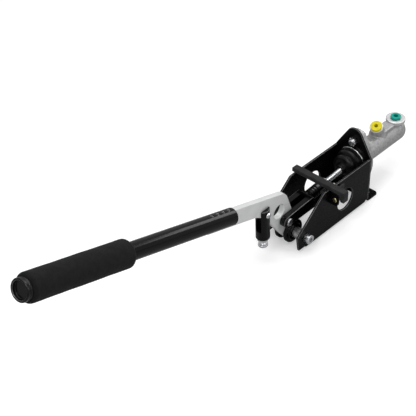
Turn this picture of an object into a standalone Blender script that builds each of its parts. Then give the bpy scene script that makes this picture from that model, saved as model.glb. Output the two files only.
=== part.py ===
"""Hydraulic parking brake lever on its floor bracket, in metres, +Z up.

+X runs from the handle towards the master cylinder, y = 0 is the bracket's middle and z = 0 is the floor.
The origin is on the floor, midway between the two slots of the rear foot. Sizes that end in _X are counted
from the lever's pivot. The lever is fully released, with its hand end low and the push rod drawn forward.
"""
import math

import bmesh
import bpy
from mathutils import Matrix, Vector

# Clearances, and the chamfer that breaks most turned edges
SEAT_GAP = 0.0003
RUN_GAP = 0.0004
PIN_PLAY = 0.0004
SLOT_PLAY = 0.0005
EDGE_BREAK = 0.0006
FINE_BREAK = 0.0004
SOFT_BREAK = 0.0008

# Bracket sheet
SHEET = 0.003
BRACKET_WIDTH = 0.058
PIVOT_HEIGHT = 0.0195
SIDE_TOP = 0.0705
TOE_CORNER = 0.003
FLANGE_CORNER = 0.004
SIDE_CORNER = 0.006
SIDE_FRONT_TOP_X = 0.034
SIDE_FRONT_X = -0.0173
SIDE_FRONT_Z = 0.0264
TOE_X = -0.0137
FLANGE_START_X = 0.003
FLANGE_WIDTH = 0.013
FLANGE_END_GAP = 0.004
FOLD_RADIUS = 0.0015
FOLD_STEPS = 5
SIDE_WINDOW_X = 0.081
SIDE_WINDOW_Z = 0.0345
SIDE_WINDOW_DIAMETER = 0.032
FLOOR_HOLE_DIAMETER = 0.0085
END_PLATE_X = 0.132
END_PEAK_Z = 0.1065
END_PEAK_ROUND = 0.013
END_SHOULDER_ROUND = 0.002
FOOT_LENGTH = 0.024
FOOT_HOLE_X = 0.147
FOOT_HOLE_Y = 0.014
FOOT_SLOT_LENGTH = 0.012
FOOT_CORNER = 0.005

# Pivot stack, from the middle outwards
LEVER_THICKNESS = 0.008
PIVOT_BOLT_DIAMETER = 0.008
PIVOT_BOLT_LENGTH = 0.070
PIVOT_BOLT_HEAD_DIAMETER = 0.013
PIVOT_BOLT_HEAD_LENGTH = 0.008
PIVOT_SOCKET_ACROSS = 0.006
PIVOT_SOCKET_DEPTH = 0.004
PIVOT_NUT_ACROSS = 0.013
PIVOT_NUT_LENGTH = 0.008
PIVOT_NUT_FLANGE = 0.0165
PIVOT_NUT_FLANGE_THICKNESS = 0.0015
DISC_DIAMETER = 0.033
DISC_THICKNESS = 0.0068
DISC_HUB_DIAMETER = 0.022
DISC_FACE_STEP = 0.0012
DISC_RIM_CHAMFER = 0.0012
SPACER_DIAMETER = 0.015

# Lever, in its own frame: origin on the pivot, +Z up the plate, -X the hollow side of the bend
REST_TILT = math.radians(30)
BEND_ANGLE = math.radians(43)
PLATE_EYE_RADIUS = 0.0125
PLATE_HALF_WIDTH = 0.020
BIG_HOLE_UP = 0.0508
BIG_HOLE_DIAMETER = 0.021
BEND_UP = 0.073
OUTER_BEND_RADIUS = 0.018
INNER_BEND_RADIUS = 0.048
SHANK_TOP = 0.0105
SHANK_BOTTOM = 0.0122
TUBE_START = 0.080
CLEVIS_ARM = 0.030
CLEVIS_HOLE_DIAMETER = 0.0110
TUBE_DIAMETER = 0.0222
TUBE_WALL = 0.0016
TUBE_LENGTH = 0.341
TUBE_SLOT_LENGTH = 0.046
TANG_LENGTH = 0.070
TANG_CORNER = 0.003
GRIP_DIAMETER = 0.035
GRIP_LENGTH = 0.155
GRIP_ROUND = 0.005
CAP_DIAMETER = 0.0275
CAP_THICKNESS = 0.0075
CAP_RIM_WALL = 0.0028
CAP_RECESS = 0.004
CAP_PLUG_LENGTH = 0.016
SET_SCREW_DIAMETER = 0.005
SET_SCREW_COUNT = 4
SET_SCREW_FIRST = 0.009
SET_SCREW_PITCH = 0.0105
SET_SCREW_SOCKET_ACROSS = 0.0025
SET_SCREW_SOCKET_DEPTH = 0.0016
SET_SCREW_SINK = 0.0004

# Adjustable rest stop clamped over the plate's edge
STOP_ROD_DIAMETER = 0.0185
STOP_ROD_LENGTH = 0.048
STOP_ROD_TOP_UP = 0.083
STOP_ROD_TOP_FRONT = 0.0145
STOP_ROD_LEAN = math.radians(27)
STOP_ROD_SLOT = 0.034
STOP_ROD_SCREW_DIAMETER = 0.005
STOP_ROD_SCREW_DOWN = 0.0072
STOP_ROD_SCREW_HEAD = 0.008
STOP_ROD_SCREW_HEAD_LENGTH = 0.0026
STOP_ROD_NUT_ACROSS = 0.008
STOP_ROD_NUT_LENGTH = 0.004
STOP_SCREW_DIAMETER = 0.008
STOP_SCREW_OUT = 0.014
STOP_SCREW_IN = 0.012
STOP_SCREW_FOOT_DIAMETER = 0.013
STOP_SCREW_FOOT_LENGTH = 0.003
STOP_NUT_ACROSS = 0.013
STOP_NUT_LENGTH = 0.005

# Push rod line
CYLINDER_AXIS_Z = 0.0555
FORK_WIDTH = 0.025
FORK_HEIGHT = 0.016
FORK_NOSE = 0.009
FORK_SLOT_DEPTH = 0.054
FORK_BLOCK_LENGTH = 0.006
FORK_CORNER = 0.003
FORK_NECK_DIAMETER = 0.0155
FORK_NECK_LENGTH = 0.032
FORK_GROOVE_DEPTH = 0.0014
FORK_GROOVE_WIDTH = 0.0022
FORK_GROOVE_COUNT = 4
CLEVIS_PIN_DIAMETER = 0.008
CLEVIS_PIN_HEAD_DIAMETER = 0.0105
CLEVIS_PIN_HEAD_LENGTH = 0.0022
CLEVIS_PIN_TAIL = 0.004
CLIP_OUTER_DIAMETER = 0.0118
CLIP_THICKNESS = 0.0009
CLIP_GROOVE_DIAMETER = 0.0062
CLIP_FROM_FORK = 0.0008
CLIP_OPENING = 35
PUSH_ROD_DIAMETER = 0.008
ROD_THREAD_IN_FORK = 0.018
JAM_NUT_ACROSS = 0.013
JAM_NUT_LENGTH = 0.0062
ROD_BALL_DIAMETER = 0.0105

# Master cylinder
BORE_DIAMETER = 0.0178
BODY_DIAMETER = 0.030
CYLINDER_FLANGE_THICKNESS = 0.0085
CYLINDER_BOLT_SPACING = 0.064
CYLINDER_EAR_RADIUS = 0.013
CYLINDER_FLANGE_HALF_WIDTH = 0.0255
CYLINDER_FLANGE_SLOPE = math.radians(34)
SPIGOT_DIAMETER = 0.0285
SPIGOT_LENGTH = 0.0062
RISER_PAST_FLANGE = 0.0822
RISER_DIAMETER = 0.026
RISER_TOP_Z = 0.0665
RISER_NECK_DIAMETER = 0.018
RISER_DISC_DIAMETER = 0.0268
RISER_DISC_THICKNESS = 0.0048
RISER_NECK_LENGTH = 0.0042
CAST_EDGE = 0.001
OUTLET_BEFORE_RISER = 0.0325
OUTLET_BASE_Y = 0.003
OUTLET_LEAN = math.radians(24)
OUTLET_TURN = math.radians(6)
OUTLET_REACH = 0.0315
OUTLET_DIAMETER = 0.0188
OUTLET_SKIRT = 0.0028
WEB_WIDTH = 0.0165
WEB_TOP_Z = 0.0735
WEB_BEFORE_RISER = 0.039
PORT_DIAMETER = 0.010
PORT_DEPTH = 0.012
PASSAGE_DIAMETER = 0.003
PLUG_SHANK_LENGTH = 0.009
GREEN_PLUG_ACROSS = 0.0135
GREEN_PLUG_HEAD = 0.0028
GREEN_PLUG_BORE = 0.0068
YELLOW_PLUG_DIAMETER = 0.016
YELLOW_PLUG_HEAD = 0.0026
YELLOW_PLUG_BORE = 0.0048
PLUG_FLOOR = 0.002
CYLINDER_BOLT_DIAMETER = 0.008
CYLINDER_BOLT_ACROSS = 0.0125
CYLINDER_BOLT_HEAD = 0.0065
CYLINDER_BOLT_WASHER = 0.0165
CYLINDER_BOLT_WASHER_THICKNESS = 0.0014
CYLINDER_NUT_ACROSS = 0.011
CYLINDER_NUT_LENGTH = 0.0055
BOLT_POINT = 0.0015
BORE_PAST_RISER = 0.003
PISTON_FRONT_X = 0.1395
PISTON_LAND_DIAMETER = 0.0172
PISTON_WAIST_DIAMETER = 0.0115
PISTON_FRONT_LAND = 0.014
PISTON_WAIST_LENGTH = 0.009
PISTON_REAR_LAND = 0.006
PISTON_NOSE_DIAMETER = 0.0092
PISTON_NOSE_LENGTH = 0.005
PISTON_SEAT_DEPTH = 0.006
CUP_LENGTH = 0.0055
CUP_LIP = 0.0008
STOP_WASHER_THICKNESS = 0.0015
STOP_WASHER_BORE = 0.0128
CIRCLIP_THICKNESS = 0.0011
CIRCLIP_RADIAL = 0.0018
CIRCLIP_GROOVE = 0.0011
CIRCLIP_OPENING = math.radians(40)
RETURN_SPRING_DIAMETER = 0.0142
RETURN_SPRING_WIRE = 0.0014
RETURN_SPRING_TURNS = 9

# Dust boot over the push rod
BOOT_NOSE_X = 0.1035
BOOT_WALL = 0.0015
BOOT_FOLLOW_START = 0.25
BOOT_FOLLOW_END = 0.65
BOOT_NOSE_RADIUS = 0.0072
BOOT_RING_RADIUS = 0.0168
BOOT_MOUTH_RADIUS = 0.0196
BOOT_DIP = 0.0036
CLAMP_RING_RADIUS = 0.0212
CLAMP_RING_WIDTH = 0.003

# Pull limit bar hinged on the right plate
BAR_FRONT_X = 0.043
BAR_WIDTH = 0.0095
BAR_HEIGHT = 0.006
BAR_OVER_PLATE = 0.0006
BAR_EDGE_ROUND = 0.001
BAR_PAST_LEFT = 0.003
BAR_PAST_RIGHT = 0.0245
BAR_LEG_DROP = 0.0155
EAR_REACH = 0.0137
EAR_TOP_Z = 0.0668
EAR_BOTTOM_Z = 0.048
EAR_FRONT_X = 0.0465
EAR_SPAN = 0.0205
EAR_THICKNESS = 0.0025
EAR_BEND = 0.002
EAR_CORNER = 0.006
BAR_PIN_DIAMETER = 0.005
BAR_PIN_OUT = 0.0082
BAR_PIN_Z = 0.0579
BAR_PIN_HEAD = 0.0066
BAR_PIN_HEAD_LENGTH = 0.0014
BAR_EYE_RADIUS = 0.0045
BAR_LEAF_THICKNESS = 0.0025

# Sizes worked out from the ones above
INNER_Y = BRACKET_WIDTH / 2 - SHEET
DISC_INNER_Y = LEVER_THICKNESS / 2 + RUN_GAP
DISC_OUTER_Y = DISC_INNER_Y + DISC_THICKNESS
PIVOT = Vector((0, 0, PIVOT_HEIGHT))
CLEVIS_REST = Vector((-CLEVIS_ARM * math.sin(REST_TILT), 0, PIVOT_HEIGHT + CLEVIS_ARM * math.cos(REST_TILT)))
PISTON_SEAT = Vector((PISTON_FRONT_X + PISTON_SEAT_DEPTH, 0, CYLINDER_AXIS_Z))
ROD_RISE = math.atan2(PISTON_SEAT.z - CLEVIS_REST.z, PISTON_SEAT.x - CLEVIS_REST.x)
ROD_SPAN = (PISTON_SEAT - CLEVIS_REST).length
FLANGE_SEAT_X = END_PLATE_X + SHEET + SEAT_GAP
FLANGE_REAR_X = FLANGE_SEAT_X + CYLINDER_FLANGE_THICKNESS
RISER_X = FLANGE_REAR_X + RISER_PAST_FLANGE
OUTLET_BASE_X = RISER_X - OUTLET_BEFORE_RISER
WEB_FRONT_X = RISER_X - WEB_BEFORE_RISER
BORE_END_X = RISER_X + BORE_PAST_RISER
TUBE_INNER = TUBE_DIAMETER / 2 - TUBE_WALL
SHANK_IN_TUBE = math.sqrt((TUBE_INNER - SEAT_GAP) ** 2 - (LEVER_THICKNESS / 2) ** 2)
SQRT3 = math.sqrt(3)
ROUND_STEPS = 24
SMALL_STEPS = 14

for old in list(bpy.data.objects):
    bpy.data.objects.remove(old, do_unlink=True)

parts = bpy.data.collections.new("parking_brake_lever")
cutters = bpy.data.collections.new("cutters")
bpy.context.scene.collection.children.link(parts)
bpy.context.scene.collection.children.link(cutters)


def material(name, colour, roughness, metallic=0.0):
    """A Principled material."""
    made = bpy.data.materials.new(name)
    made.use_nodes = True
    shader = made.node_tree.nodes["Principled BSDF"]
    shader.inputs["Base Color"].default_value = (*colour, 1)
    shader.inputs["Roughness"].default_value = roughness
    shader.inputs["Metallic"].default_value = metallic
    return made


BLACK_PAINT = material("black_paint", (0.012, 0.012, 0.012), 0.35)
BLACK_GLOSS = material("black_gloss", (0.008, 0.008, 0.008), 0.15)
ZINC = material("zinc", (0.72, 0.73, 0.74), 0.25, 1.0)
YELLOW_ZINC = material("yellow_zinc", (0.70, 0.62, 0.38), 0.3, 1.0)
BLASTED_STEEL = material("blasted_steel", (0.62, 0.63, 0.63), 0.55, 0.9)
CAST_ALUMINIUM = material("cast_aluminium", (0.45, 0.45, 0.45), 0.55, 0.85)
RUBBER = material("rubber", (0.015, 0.015, 0.015), 0.6)
FOAM = material("foam", (0.01, 0.01, 0.01), 0.95)
BAR_RUBBER = material("bar_rubber", (0.03, 0.03, 0.032), 0.8)
GREEN_PLASTIC = material("green_plastic", (0.0, 0.33, 0.27), 0.35)
YELLOW_PLASTIC = material("yellow_plastic", (0.85, 0.75, 0.03), 0.35)


def evaluated_mesh(obj):
    """The mesh that an object's curve or modifiers give, welded and facing out."""
    bpy.context.view_layer.update()
    graph = bpy.context.evaluated_depsgraph_get()
    mesh = bpy.data.meshes.new_from_object(obj.evaluated_get(graph))
    shape = bmesh.new()
    shape.from_mesh(mesh)
    bmesh.ops.remove_doubles(shape, verts=shape.verts, dist=1e-6)
    bmesh.ops.recalc_face_normals(shape, faces=shape.faces)
    shape.to_mesh(mesh)
    shape.free()
    return mesh


def place(name, mesh, matrix, finish=None, parent=None):
    """An object for a part, or a cutter when it has no finish; matrix is in its parent's frame."""
    obj = bpy.data.objects.new(name, mesh)
    (parts if finish else cutters).objects.link(obj)
    if finish:
        mesh.materials.clear()
        mesh.materials.append(finish)
        mesh.shade_smooth()
        mesh.set_sharp_from_angle(angle=math.radians(35))
    else:
        obj.hide_render = True
        obj.display_type = "WIRE"
    obj.parent = parent or bracket_axis
    obj.matrix_basis = matrix
    return obj


def combine(obj, tool, operation="DIFFERENCE"):
    """Cuts the tool out of the object, or joins it on, with an exact Boolean on welded faces."""
    if obj.modifiers:
        weld = obj.modifiers.new("weld", "WELD")
        weld.merge_threshold = 3e-6
    step = obj.modifiers.new(tool.name, "BOOLEAN")
    step.object = tool
    step.operation = operation
    step.solver = "EXACT"
    return obj


def empty(name, location, rotation=(0, 0, 0), parent=None):
    """An empty on a joint's axis, which carries the pieces that move together."""
    obj = bpy.data.objects.new(name, None)
    parts.objects.link(obj)
    obj.parent = parent
    obj.location = location
    obj.rotation_euler = rotation
    return obj


bracket_axis = empty("bracket_axis", (-FOOT_HOLE_X, 0, 0))


def arc(centre, radius, start, end, steps=12):
    """Points on an arc, with angles in degrees."""
    angles = [math.radians(start + (end - start) * i / steps) for i in range(steps + 1)]
    return [(centre[0] + radius * math.cos(a), centre[1] + radius * math.sin(a)) for a in angles]


def circle(centre, diameter, steps=ROUND_STEPS):
    """Points round a full circle."""
    return arc(centre, diameter / 2, 0, 360 * (steps - 1) / steps, steps - 1)


def slot(centre, diameter, length, steps=8):
    """A slot with round ends that lies along the first axis."""
    half = (length - diameter) / 2
    right = arc((centre[0] + half, centre[1]), diameter / 2, -90, 90, steps)
    left = arc((centre[0] - half, centre[1]), diameter / 2, 90, 270, steps)
    return right + left


def filleted(corners, steps=8):
    """An outline from corners (x, y, radius), each rounded by an arc that meets both of its sides."""
    points = []
    for i, (x, y, radius) in enumerate(corners):
        here = Vector((x, y))
        if not radius:
            points.append((x, y))
            continue
        before = (Vector(corners[i - 1][:2]) - here).normalized()
        after = (Vector(corners[(i + 1) % len(corners)][:2]) - here).normalized()
        half = before.angle(after) / 2
        centre = here + (before + after).normalized() * radius / math.sin(half)
        first = here + before * radius / math.tan(half) - centre
        last = here + after * radius / math.tan(half) - centre
        turn = first.angle_signed(last)
        for k in range(steps + 1):
            spoke = first.copy()
            spoke.rotate(Matrix.Rotation(-turn * k / steps, 2))
            points.append(tuple(centre + spoke))
    return points


def flat_mesh(outline, holes=(), thickness=0.0):
    """A flat plate from a 2D curve: outline and holes lie in XY, the thickness is centred on z = 0."""
    curve = bpy.data.curves.new("outline", "CURVE")
    curve.dimensions = "2D"
    curve.fill_mode = "BOTH" if thickness else "FRONT"
    curve.extrude = thickness / 2
    for loop in (outline, *holes):
        spline = curve.splines.new("POLY")
        spline.points.add(len(loop) - 1)
        for point, (x, y) in zip(spline.points, loop):
            point.co = (x, y, 0, 1)
        spline.use_cyclic_u = True
    guide = bpy.data.objects.new("outline", curve)
    cutters.objects.link(guide)
    mesh = evaluated_mesh(guide)
    bpy.data.objects.remove(guide)
    return mesh


def turned_mesh(profile, steps=ROUND_STEPS, closed=False):
    """A turned shape about Z: the profile (radius, height) runs down its outer side, top to bottom."""
    mesh = bpy.data.meshes.new("profile")
    ends = [(i, i + 1) for i in range(len(profile) - 1)]
    if closed:
        ends.append((len(profile) - 1, 0))
    mesh.from_pydata([(r, 0, h) for r, h in profile], ends, [])
    guide = bpy.data.objects.new("profile", mesh)
    cutters.objects.link(guide)
    screw = guide.modifiers.new("turn", "SCREW")
    screw.steps = steps
    screw.render_steps = steps
    screw.use_merge_vertices = True
    screw.merge_threshold = 1e-6
    turned = evaluated_mesh(guide)
    bpy.data.objects.remove(guide)
    return turned


def rod_mesh(diameter, length, steps=SMALL_STEPS, chamfer=0.0):
    """A solid round bar from z = 0 up to its length, with chamfered ends."""
    r = diameter / 2
    top = [(0, length), (r - chamfer, length), (r, length - chamfer)]
    bottom = [(r, chamfer), (r - chamfer, 0), (0, 0)]
    return turned_mesh(top + bottom if chamfer else [(0, length), (r, length), (r, 0), (0, 0)], steps)


def ring_mesh(outer, inner, length, steps=ROUND_STEPS, chamfer=0.0):
    """A tube or ring from z = 0 up to its length."""
    a, b, c = outer / 2, inner / 2, chamfer
    if not c:
        return turned_mesh([(a, length), (a, 0), (b, 0), (b, length)], steps, closed=True)
    outside = [(a - c, length), (a, length - c), (a, c), (a - c, 0)]
    inside = [(b + c, 0), (b, c), (b, length - c), (b + c, length)]
    return turned_mesh(outside + inside, steps, closed=True)


def hex_mesh(across, length, z=0.0):
    """A hexagonal prism from z upwards, measured across its flats."""
    shape = bmesh.new()
    middle = Matrix.Translation((0, 0, z + length / 2))
    r = across / SQRT3
    bmesh.ops.create_cone(shape, cap_ends=True, segments=6, radius1=r, radius2=r, depth=length, matrix=middle)
    mesh = bpy.data.meshes.new("hexagon")
    shape.to_mesh(mesh)
    shape.free()
    return mesh


def box_mesh(size, centre=(0, 0, 0)):
    """A box of this size about its centre."""
    shape = bmesh.new()
    matrix = Matrix.Translation(centre) @ Matrix.Diagonal((*size, 1))
    bmesh.ops.create_cube(shape, size=1, matrix=matrix)
    mesh = bpy.data.meshes.new("box")
    shape.to_mesh(mesh)
    shape.free()
    return mesh


def along(start, direction):
    """The matrix that stands a piece made along Z at the start, pointing in the direction."""
    return Matrix.Translation(start) @ Vector(direction).to_track_quat("Z", "Y").to_matrix().to_4x4()


UPRIGHT_XZ = Matrix.Rotation(math.pi / 2, 4, "X")
UPRIGHT_YZ = Matrix(((0, 0, 1, 0), (1, 0, 0, 0), (0, 1, 0, 0), (0, 0, 0, 1)))
PLUS_X, PLUS_Y, MINUS_Y = Vector((1, 0, 0)), Vector((0, 1, 0)), Vector((0, -1, 0))

# Where the mid-surface of the folded sheet leaves the flat of the side plate
FOLD_MIDDLE = FOLD_RADIUS + SHEET / 2
FOLD_Z = SHEET / 2 + FOLD_MIDDLE
FOLD_ARC = FOLD_MIDDLE * math.pi / 2
FLANGE_FLAT = FLANGE_WIDTH - SHEET / 2 - FOLD_MIDDLE


def folded(outline, holes):
    """A sheet blank (u, s) folded at s = 0: s > 0 stands up, s < 0 rolls round the fold and lies flat."""
    mesh = flat_mesh(outline, holes, SHEET)
    shape = bmesh.new()
    shape.from_mesh(mesh)
    for k in range(FOLD_STEPS + 1):
        line = (0, -FOLD_ARC * k / FOLD_STEPS, 0)
        faces = shape.verts[:] + shape.edges[:] + shape.faces[:]
        bmesh.ops.bisect_plane(shape, geom=faces, plane_co=line, plane_no=(0, 1, 0), dist=1e-6)
    for vert in shape.verts:
        u, s, outward = vert.co
        angle = min(max(-s / FOLD_MIDDLE, 0), math.pi / 2)
        radius = FOLD_MIDDLE + outward
        inward = FOLD_MIDDLE - radius * math.cos(angle) + max(-s - FOLD_ARC, 0)
        up = FOLD_Z + max(s, 0) - radius * math.sin(angle)
        vert.co = (u, inward, up)
    bmesh.ops.remove_doubles(shape, verts=shape.verts, dist=1e-5)
    bmesh.ops.recalc_face_normals(shape, faces=shape.faces)
    shape.to_mesh(mesh)
    shape.free()
    return mesh


def sheet_part(name, mesh, matrix):
    """A folded sheet moved to its place, turned the right way out where the matrix mirrors it."""
    mesh.transform(matrix)
    if matrix.determinant() < 0:
        mesh.flip_normals()
    return place(name, mesh, Matrix(), BLACK_PAINT)


def side_plate(name, side):
    """A side plate with its floor flange turned inwards; side is +1 on the left and -1 on the right."""
    rear = END_PLATE_X - SEAT_GAP
    flange_rear = rear - FLANGE_END_GAP
    bottom = -FOLD_ARC - FLANGE_FLAT
    corners = [(TOE_X, 0, TOE_CORNER), (FLANGE_START_X, 0, 0), (FLANGE_START_X, bottom, FLANGE_CORNER)]
    corners += [(flange_rear, bottom, FLANGE_CORNER), (flange_rear, 0, 0), (rear, 0, 0)]
    corners += [(rear, SIDE_TOP - FOLD_Z, 0), (SIDE_FRONT_TOP_X, SIDE_TOP - FOLD_Z, SIDE_CORNER)]
    corners += [(SIDE_FRONT_X, SIDE_FRONT_Z - FOLD_Z, FLANGE_CORNER)]
    window = circle((SIDE_WINDOW_X, SIDE_WINDOW_Z - FOLD_Z), SIDE_WINDOW_DIAMETER)
    eye = circle((0, PIVOT_HEIGHT - FOLD_Z), PIVOT_BOLT_DIAMETER + 2 * PIN_PLAY, SMALL_STEPS)
    mesh = folded(filleted(corners), [window, eye])
    outer = BRACKET_WIDTH / 2 - SHEET / 2
    matrix = Matrix(((1, 0, 0, 0), (0, -side, 0, side * outer), (0, 0, 1, 0), (0, 0, 0, 1)))
    return sheet_part(name, mesh, matrix)


def end_plate():
    """The peaked rear plate that carries the cylinder, folded into a floor foot behind the bracket."""
    half = BRACKET_WIDTH / 2
    foot = -FOLD_ARC - (FOOT_LENGTH - SHEET / 2 - FOLD_MIDDLE)
    slope = math.atan2(half, END_PEAK_Z - SIDE_TOP)
    for _ in range(4):
        apex = END_PEAK_Z + END_PEAK_ROUND * (1 / math.sin(slope) - 1)
        slope = math.atan2(half, apex - SIDE_TOP)
    shoulder = SIDE_TOP - FOLD_Z
    corners = [(-half, 0, 0), (-half, shoulder, END_SHOULDER_ROUND), (0, apex - FOLD_Z, END_PEAK_ROUND)]
    corners += [(half, shoulder, END_SHOULDER_ROUND), (half, 0, 0)]
    corners += [(half, foot, FOOT_CORNER), (-half, foot, FOOT_CORNER)]
    axis = CYLINDER_AXIS_Z - FOLD_Z
    holes = [circle((0, axis), SPIGOT_DIAMETER + 2 * SEAT_GAP)]
    for side in (-1, 1):
        holes.append(circle((0, axis + side * CYLINDER_BOLT_SPACING / 2), FLOOR_HOLE_DIAMETER, SMALL_STEPS))
        from_fold = FOOT_HOLE_X - END_PLATE_X - SHEET / 2 - FOLD_MIDDLE
        holes.append(slot((side * FOOT_HOLE_Y, -FOLD_ARC - from_fold), FLOOR_HOLE_DIAMETER, FOOT_SLOT_LENGTH))
    mesh = folded(filleted(corners), holes)
    matrix = Matrix(((0, 1, 0, END_PLATE_X + SHEET / 2), (1, 0, 0, 0), (0, 0, 1, 0), (0, 0, 0, 1)))
    return sheet_part("end_plate", mesh, matrix)


def pivot_stack():
    """Bolt, nut, thrust discs and spacer tubes on the lever's axis."""
    r, head_r = PIVOT_BOLT_DIAMETER / 2, PIVOT_BOLT_HEAD_DIAMETER / 2
    end, chamfer = -PIVOT_BOLT_LENGTH, EDGE_BREAK
    profile = [(0, PIVOT_BOLT_HEAD_LENGTH), (head_r - chamfer, PIVOT_BOLT_HEAD_LENGTH)]
    profile += [(head_r, PIVOT_BOLT_HEAD_LENGTH - chamfer), (head_r, 0), (r, 0)]
    profile += [(r, end + chamfer), (r - chamfer, end), (0, end)]
    under_head = Vector((0, -BRACKET_WIDTH / 2 - SEAT_GAP, PIVOT_HEIGHT))
    bolt = place("pivot_bolt", turned_mesh(profile), along(under_head, MINUS_Y), ZINC)
    socket_floor = PIVOT_BOLT_HEAD_LENGTH - PIVOT_SOCKET_DEPTH
    socket = hex_mesh(PIVOT_SOCKET_ACROSS, PIVOT_SOCKET_DEPTH * 2, socket_floor)
    combine(bolt, place("pivot_socket", socket, along(under_head, MINUS_Y)))

    seat = Vector((0, BRACKET_WIDTH / 2 + SEAT_GAP, PIVOT_HEIGHT))
    nut_bore = PIVOT_BOLT_DIAMETER + 2 * SEAT_GAP
    nut = place("pivot_nut", hex_mesh(PIVOT_NUT_ACROSS, PIVOT_NUT_LENGTH), along(seat, PLUS_Y), ZINC)
    washer = rod_mesh(PIVOT_NUT_FLANGE, PIVOT_NUT_FLANGE_THICKNESS)
    combine(nut, place("nut_washer", washer, along(seat, PLUS_Y)), "UNION")
    bore = rod_mesh(nut_bore, PIVOT_NUT_LENGTH * 3)
    combine(nut, place("nut_bore", bore, along(seat - PLUS_Y * PIVOT_NUT_LENGTH, PLUS_Y)))

    bore_r = PIVOT_BOLT_DIAMETER / 2 + PIN_PLAY
    r, hub, step, t = DISC_DIAMETER / 2, DISC_HUB_DIAMETER / 2, DISC_FACE_STEP, DISC_THICKNESS
    rim = DISC_RIM_CHAMFER
    disc = [(hub, t), (hub + step, t - step), (r - rim, t - step), (r, t - step - rim), (r, rim)]
    disc += [(r - rim, 0), (bore_r, 0), (bore_r, t)]
    spacer_length = INNER_Y - DISC_OUTER_Y - 2 * SEAT_GAP
    spacer = ring_mesh(SPACER_DIAMETER, bore_r * 2, spacer_length, SMALL_STEPS, FINE_BREAK)
    for name, way in (("left", PLUS_Y), ("right", MINUS_Y)):
        seat = along(PIVOT + way * DISC_INNER_Y, way)
        place(name + "_thrust_disc", turned_mesh(disc, closed=True), seat, BLACK_GLOSS)
        foot = PIVOT + way * (DISC_OUTER_Y + SEAT_GAP)
        place(name + "_spacer_tube", spacer.copy(), along(foot, way), ZINC)


def bar_hinge():
    """The U-shaped hinge bracket on the right plate, and its pin."""
    face = -BRACKET_WIDTH / 2 - SEAT_GAP
    back, t = face - EAR_THICKNESS, EAR_THICKNESS
    out = -BRACKET_WIDTH / 2 - EAR_REACH
    x0, x1 = EAR_FRONT_X, EAR_FRONT_X + EAR_SPAN
    corners = [(x0, face, EAR_BEND), (x0, out, 0), (x0 + t, out, 0), (x0 + t, back, 0), (x1 - t, back, 0)]
    corners += [(x1 - t, out, 0), (x1, out, 0), (x1, face, EAR_BEND)]
    middle = (EAR_TOP_Z + EAR_BOTTOM_Z) / 2
    channel = flat_mesh(filleted(corners), (), EAR_TOP_Z - EAR_BOTTOM_Z)
    bracket = place("bar_hinge_bracket", channel, Matrix.Translation((0, 0, middle)), BLACK_PAINT)
    reach = [(face + t, EAR_BOTTOM_Z - t, 0), (out - SEAT_GAP, EAR_BOTTOM_Z - SEAT_GAP, EAR_CORNER)]
    reach += [(out - SEAT_GAP, EAR_TOP_Z + SEAT_GAP, EAR_CORNER), (face + t, EAR_TOP_Z + SEAT_GAP, 0)]
    trim = flat_mesh(filleted(reach), (), EAR_SPAN * 2)
    trim.transform(UPRIGHT_YZ)
    trimmer = place("ear_outline", trim, Matrix.Translation((x0 + EAR_SPAN / 2, 0, 0)))
    combine(bracket, trimmer, "INTERSECT")
    pin_y = -BRACKET_WIDTH / 2 - BAR_PIN_OUT
    hole = rod_mesh(BAR_PIN_DIAMETER + 2 * SEAT_GAP, EAR_SPAN * 2)
    combine(bracket, place("ear_hole", hole, along((x0 - EAR_SPAN / 2, pin_y, BAR_PIN_Z), PLUS_X)))
    r, head_r = BAR_PIN_DIAMETER / 2, BAR_PIN_HEAD / 2
    inner = EAR_SPAN + 2 * SEAT_GAP
    head = BAR_PIN_HEAD_LENGTH
    profile = [(0, inner + head), (head_r, inner + head), (head_r, inner), (r, inner)]
    profile += [(r, 0), (head_r, 0), (head_r, -head), (0, -head)]
    pin = turned_mesh(profile, SMALL_STEPS)
    place("bar_pin", pin, along((x0 - SEAT_GAP, pin_y, BAR_PIN_Z), PLUS_X), YELLOW_ZINC)


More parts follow.
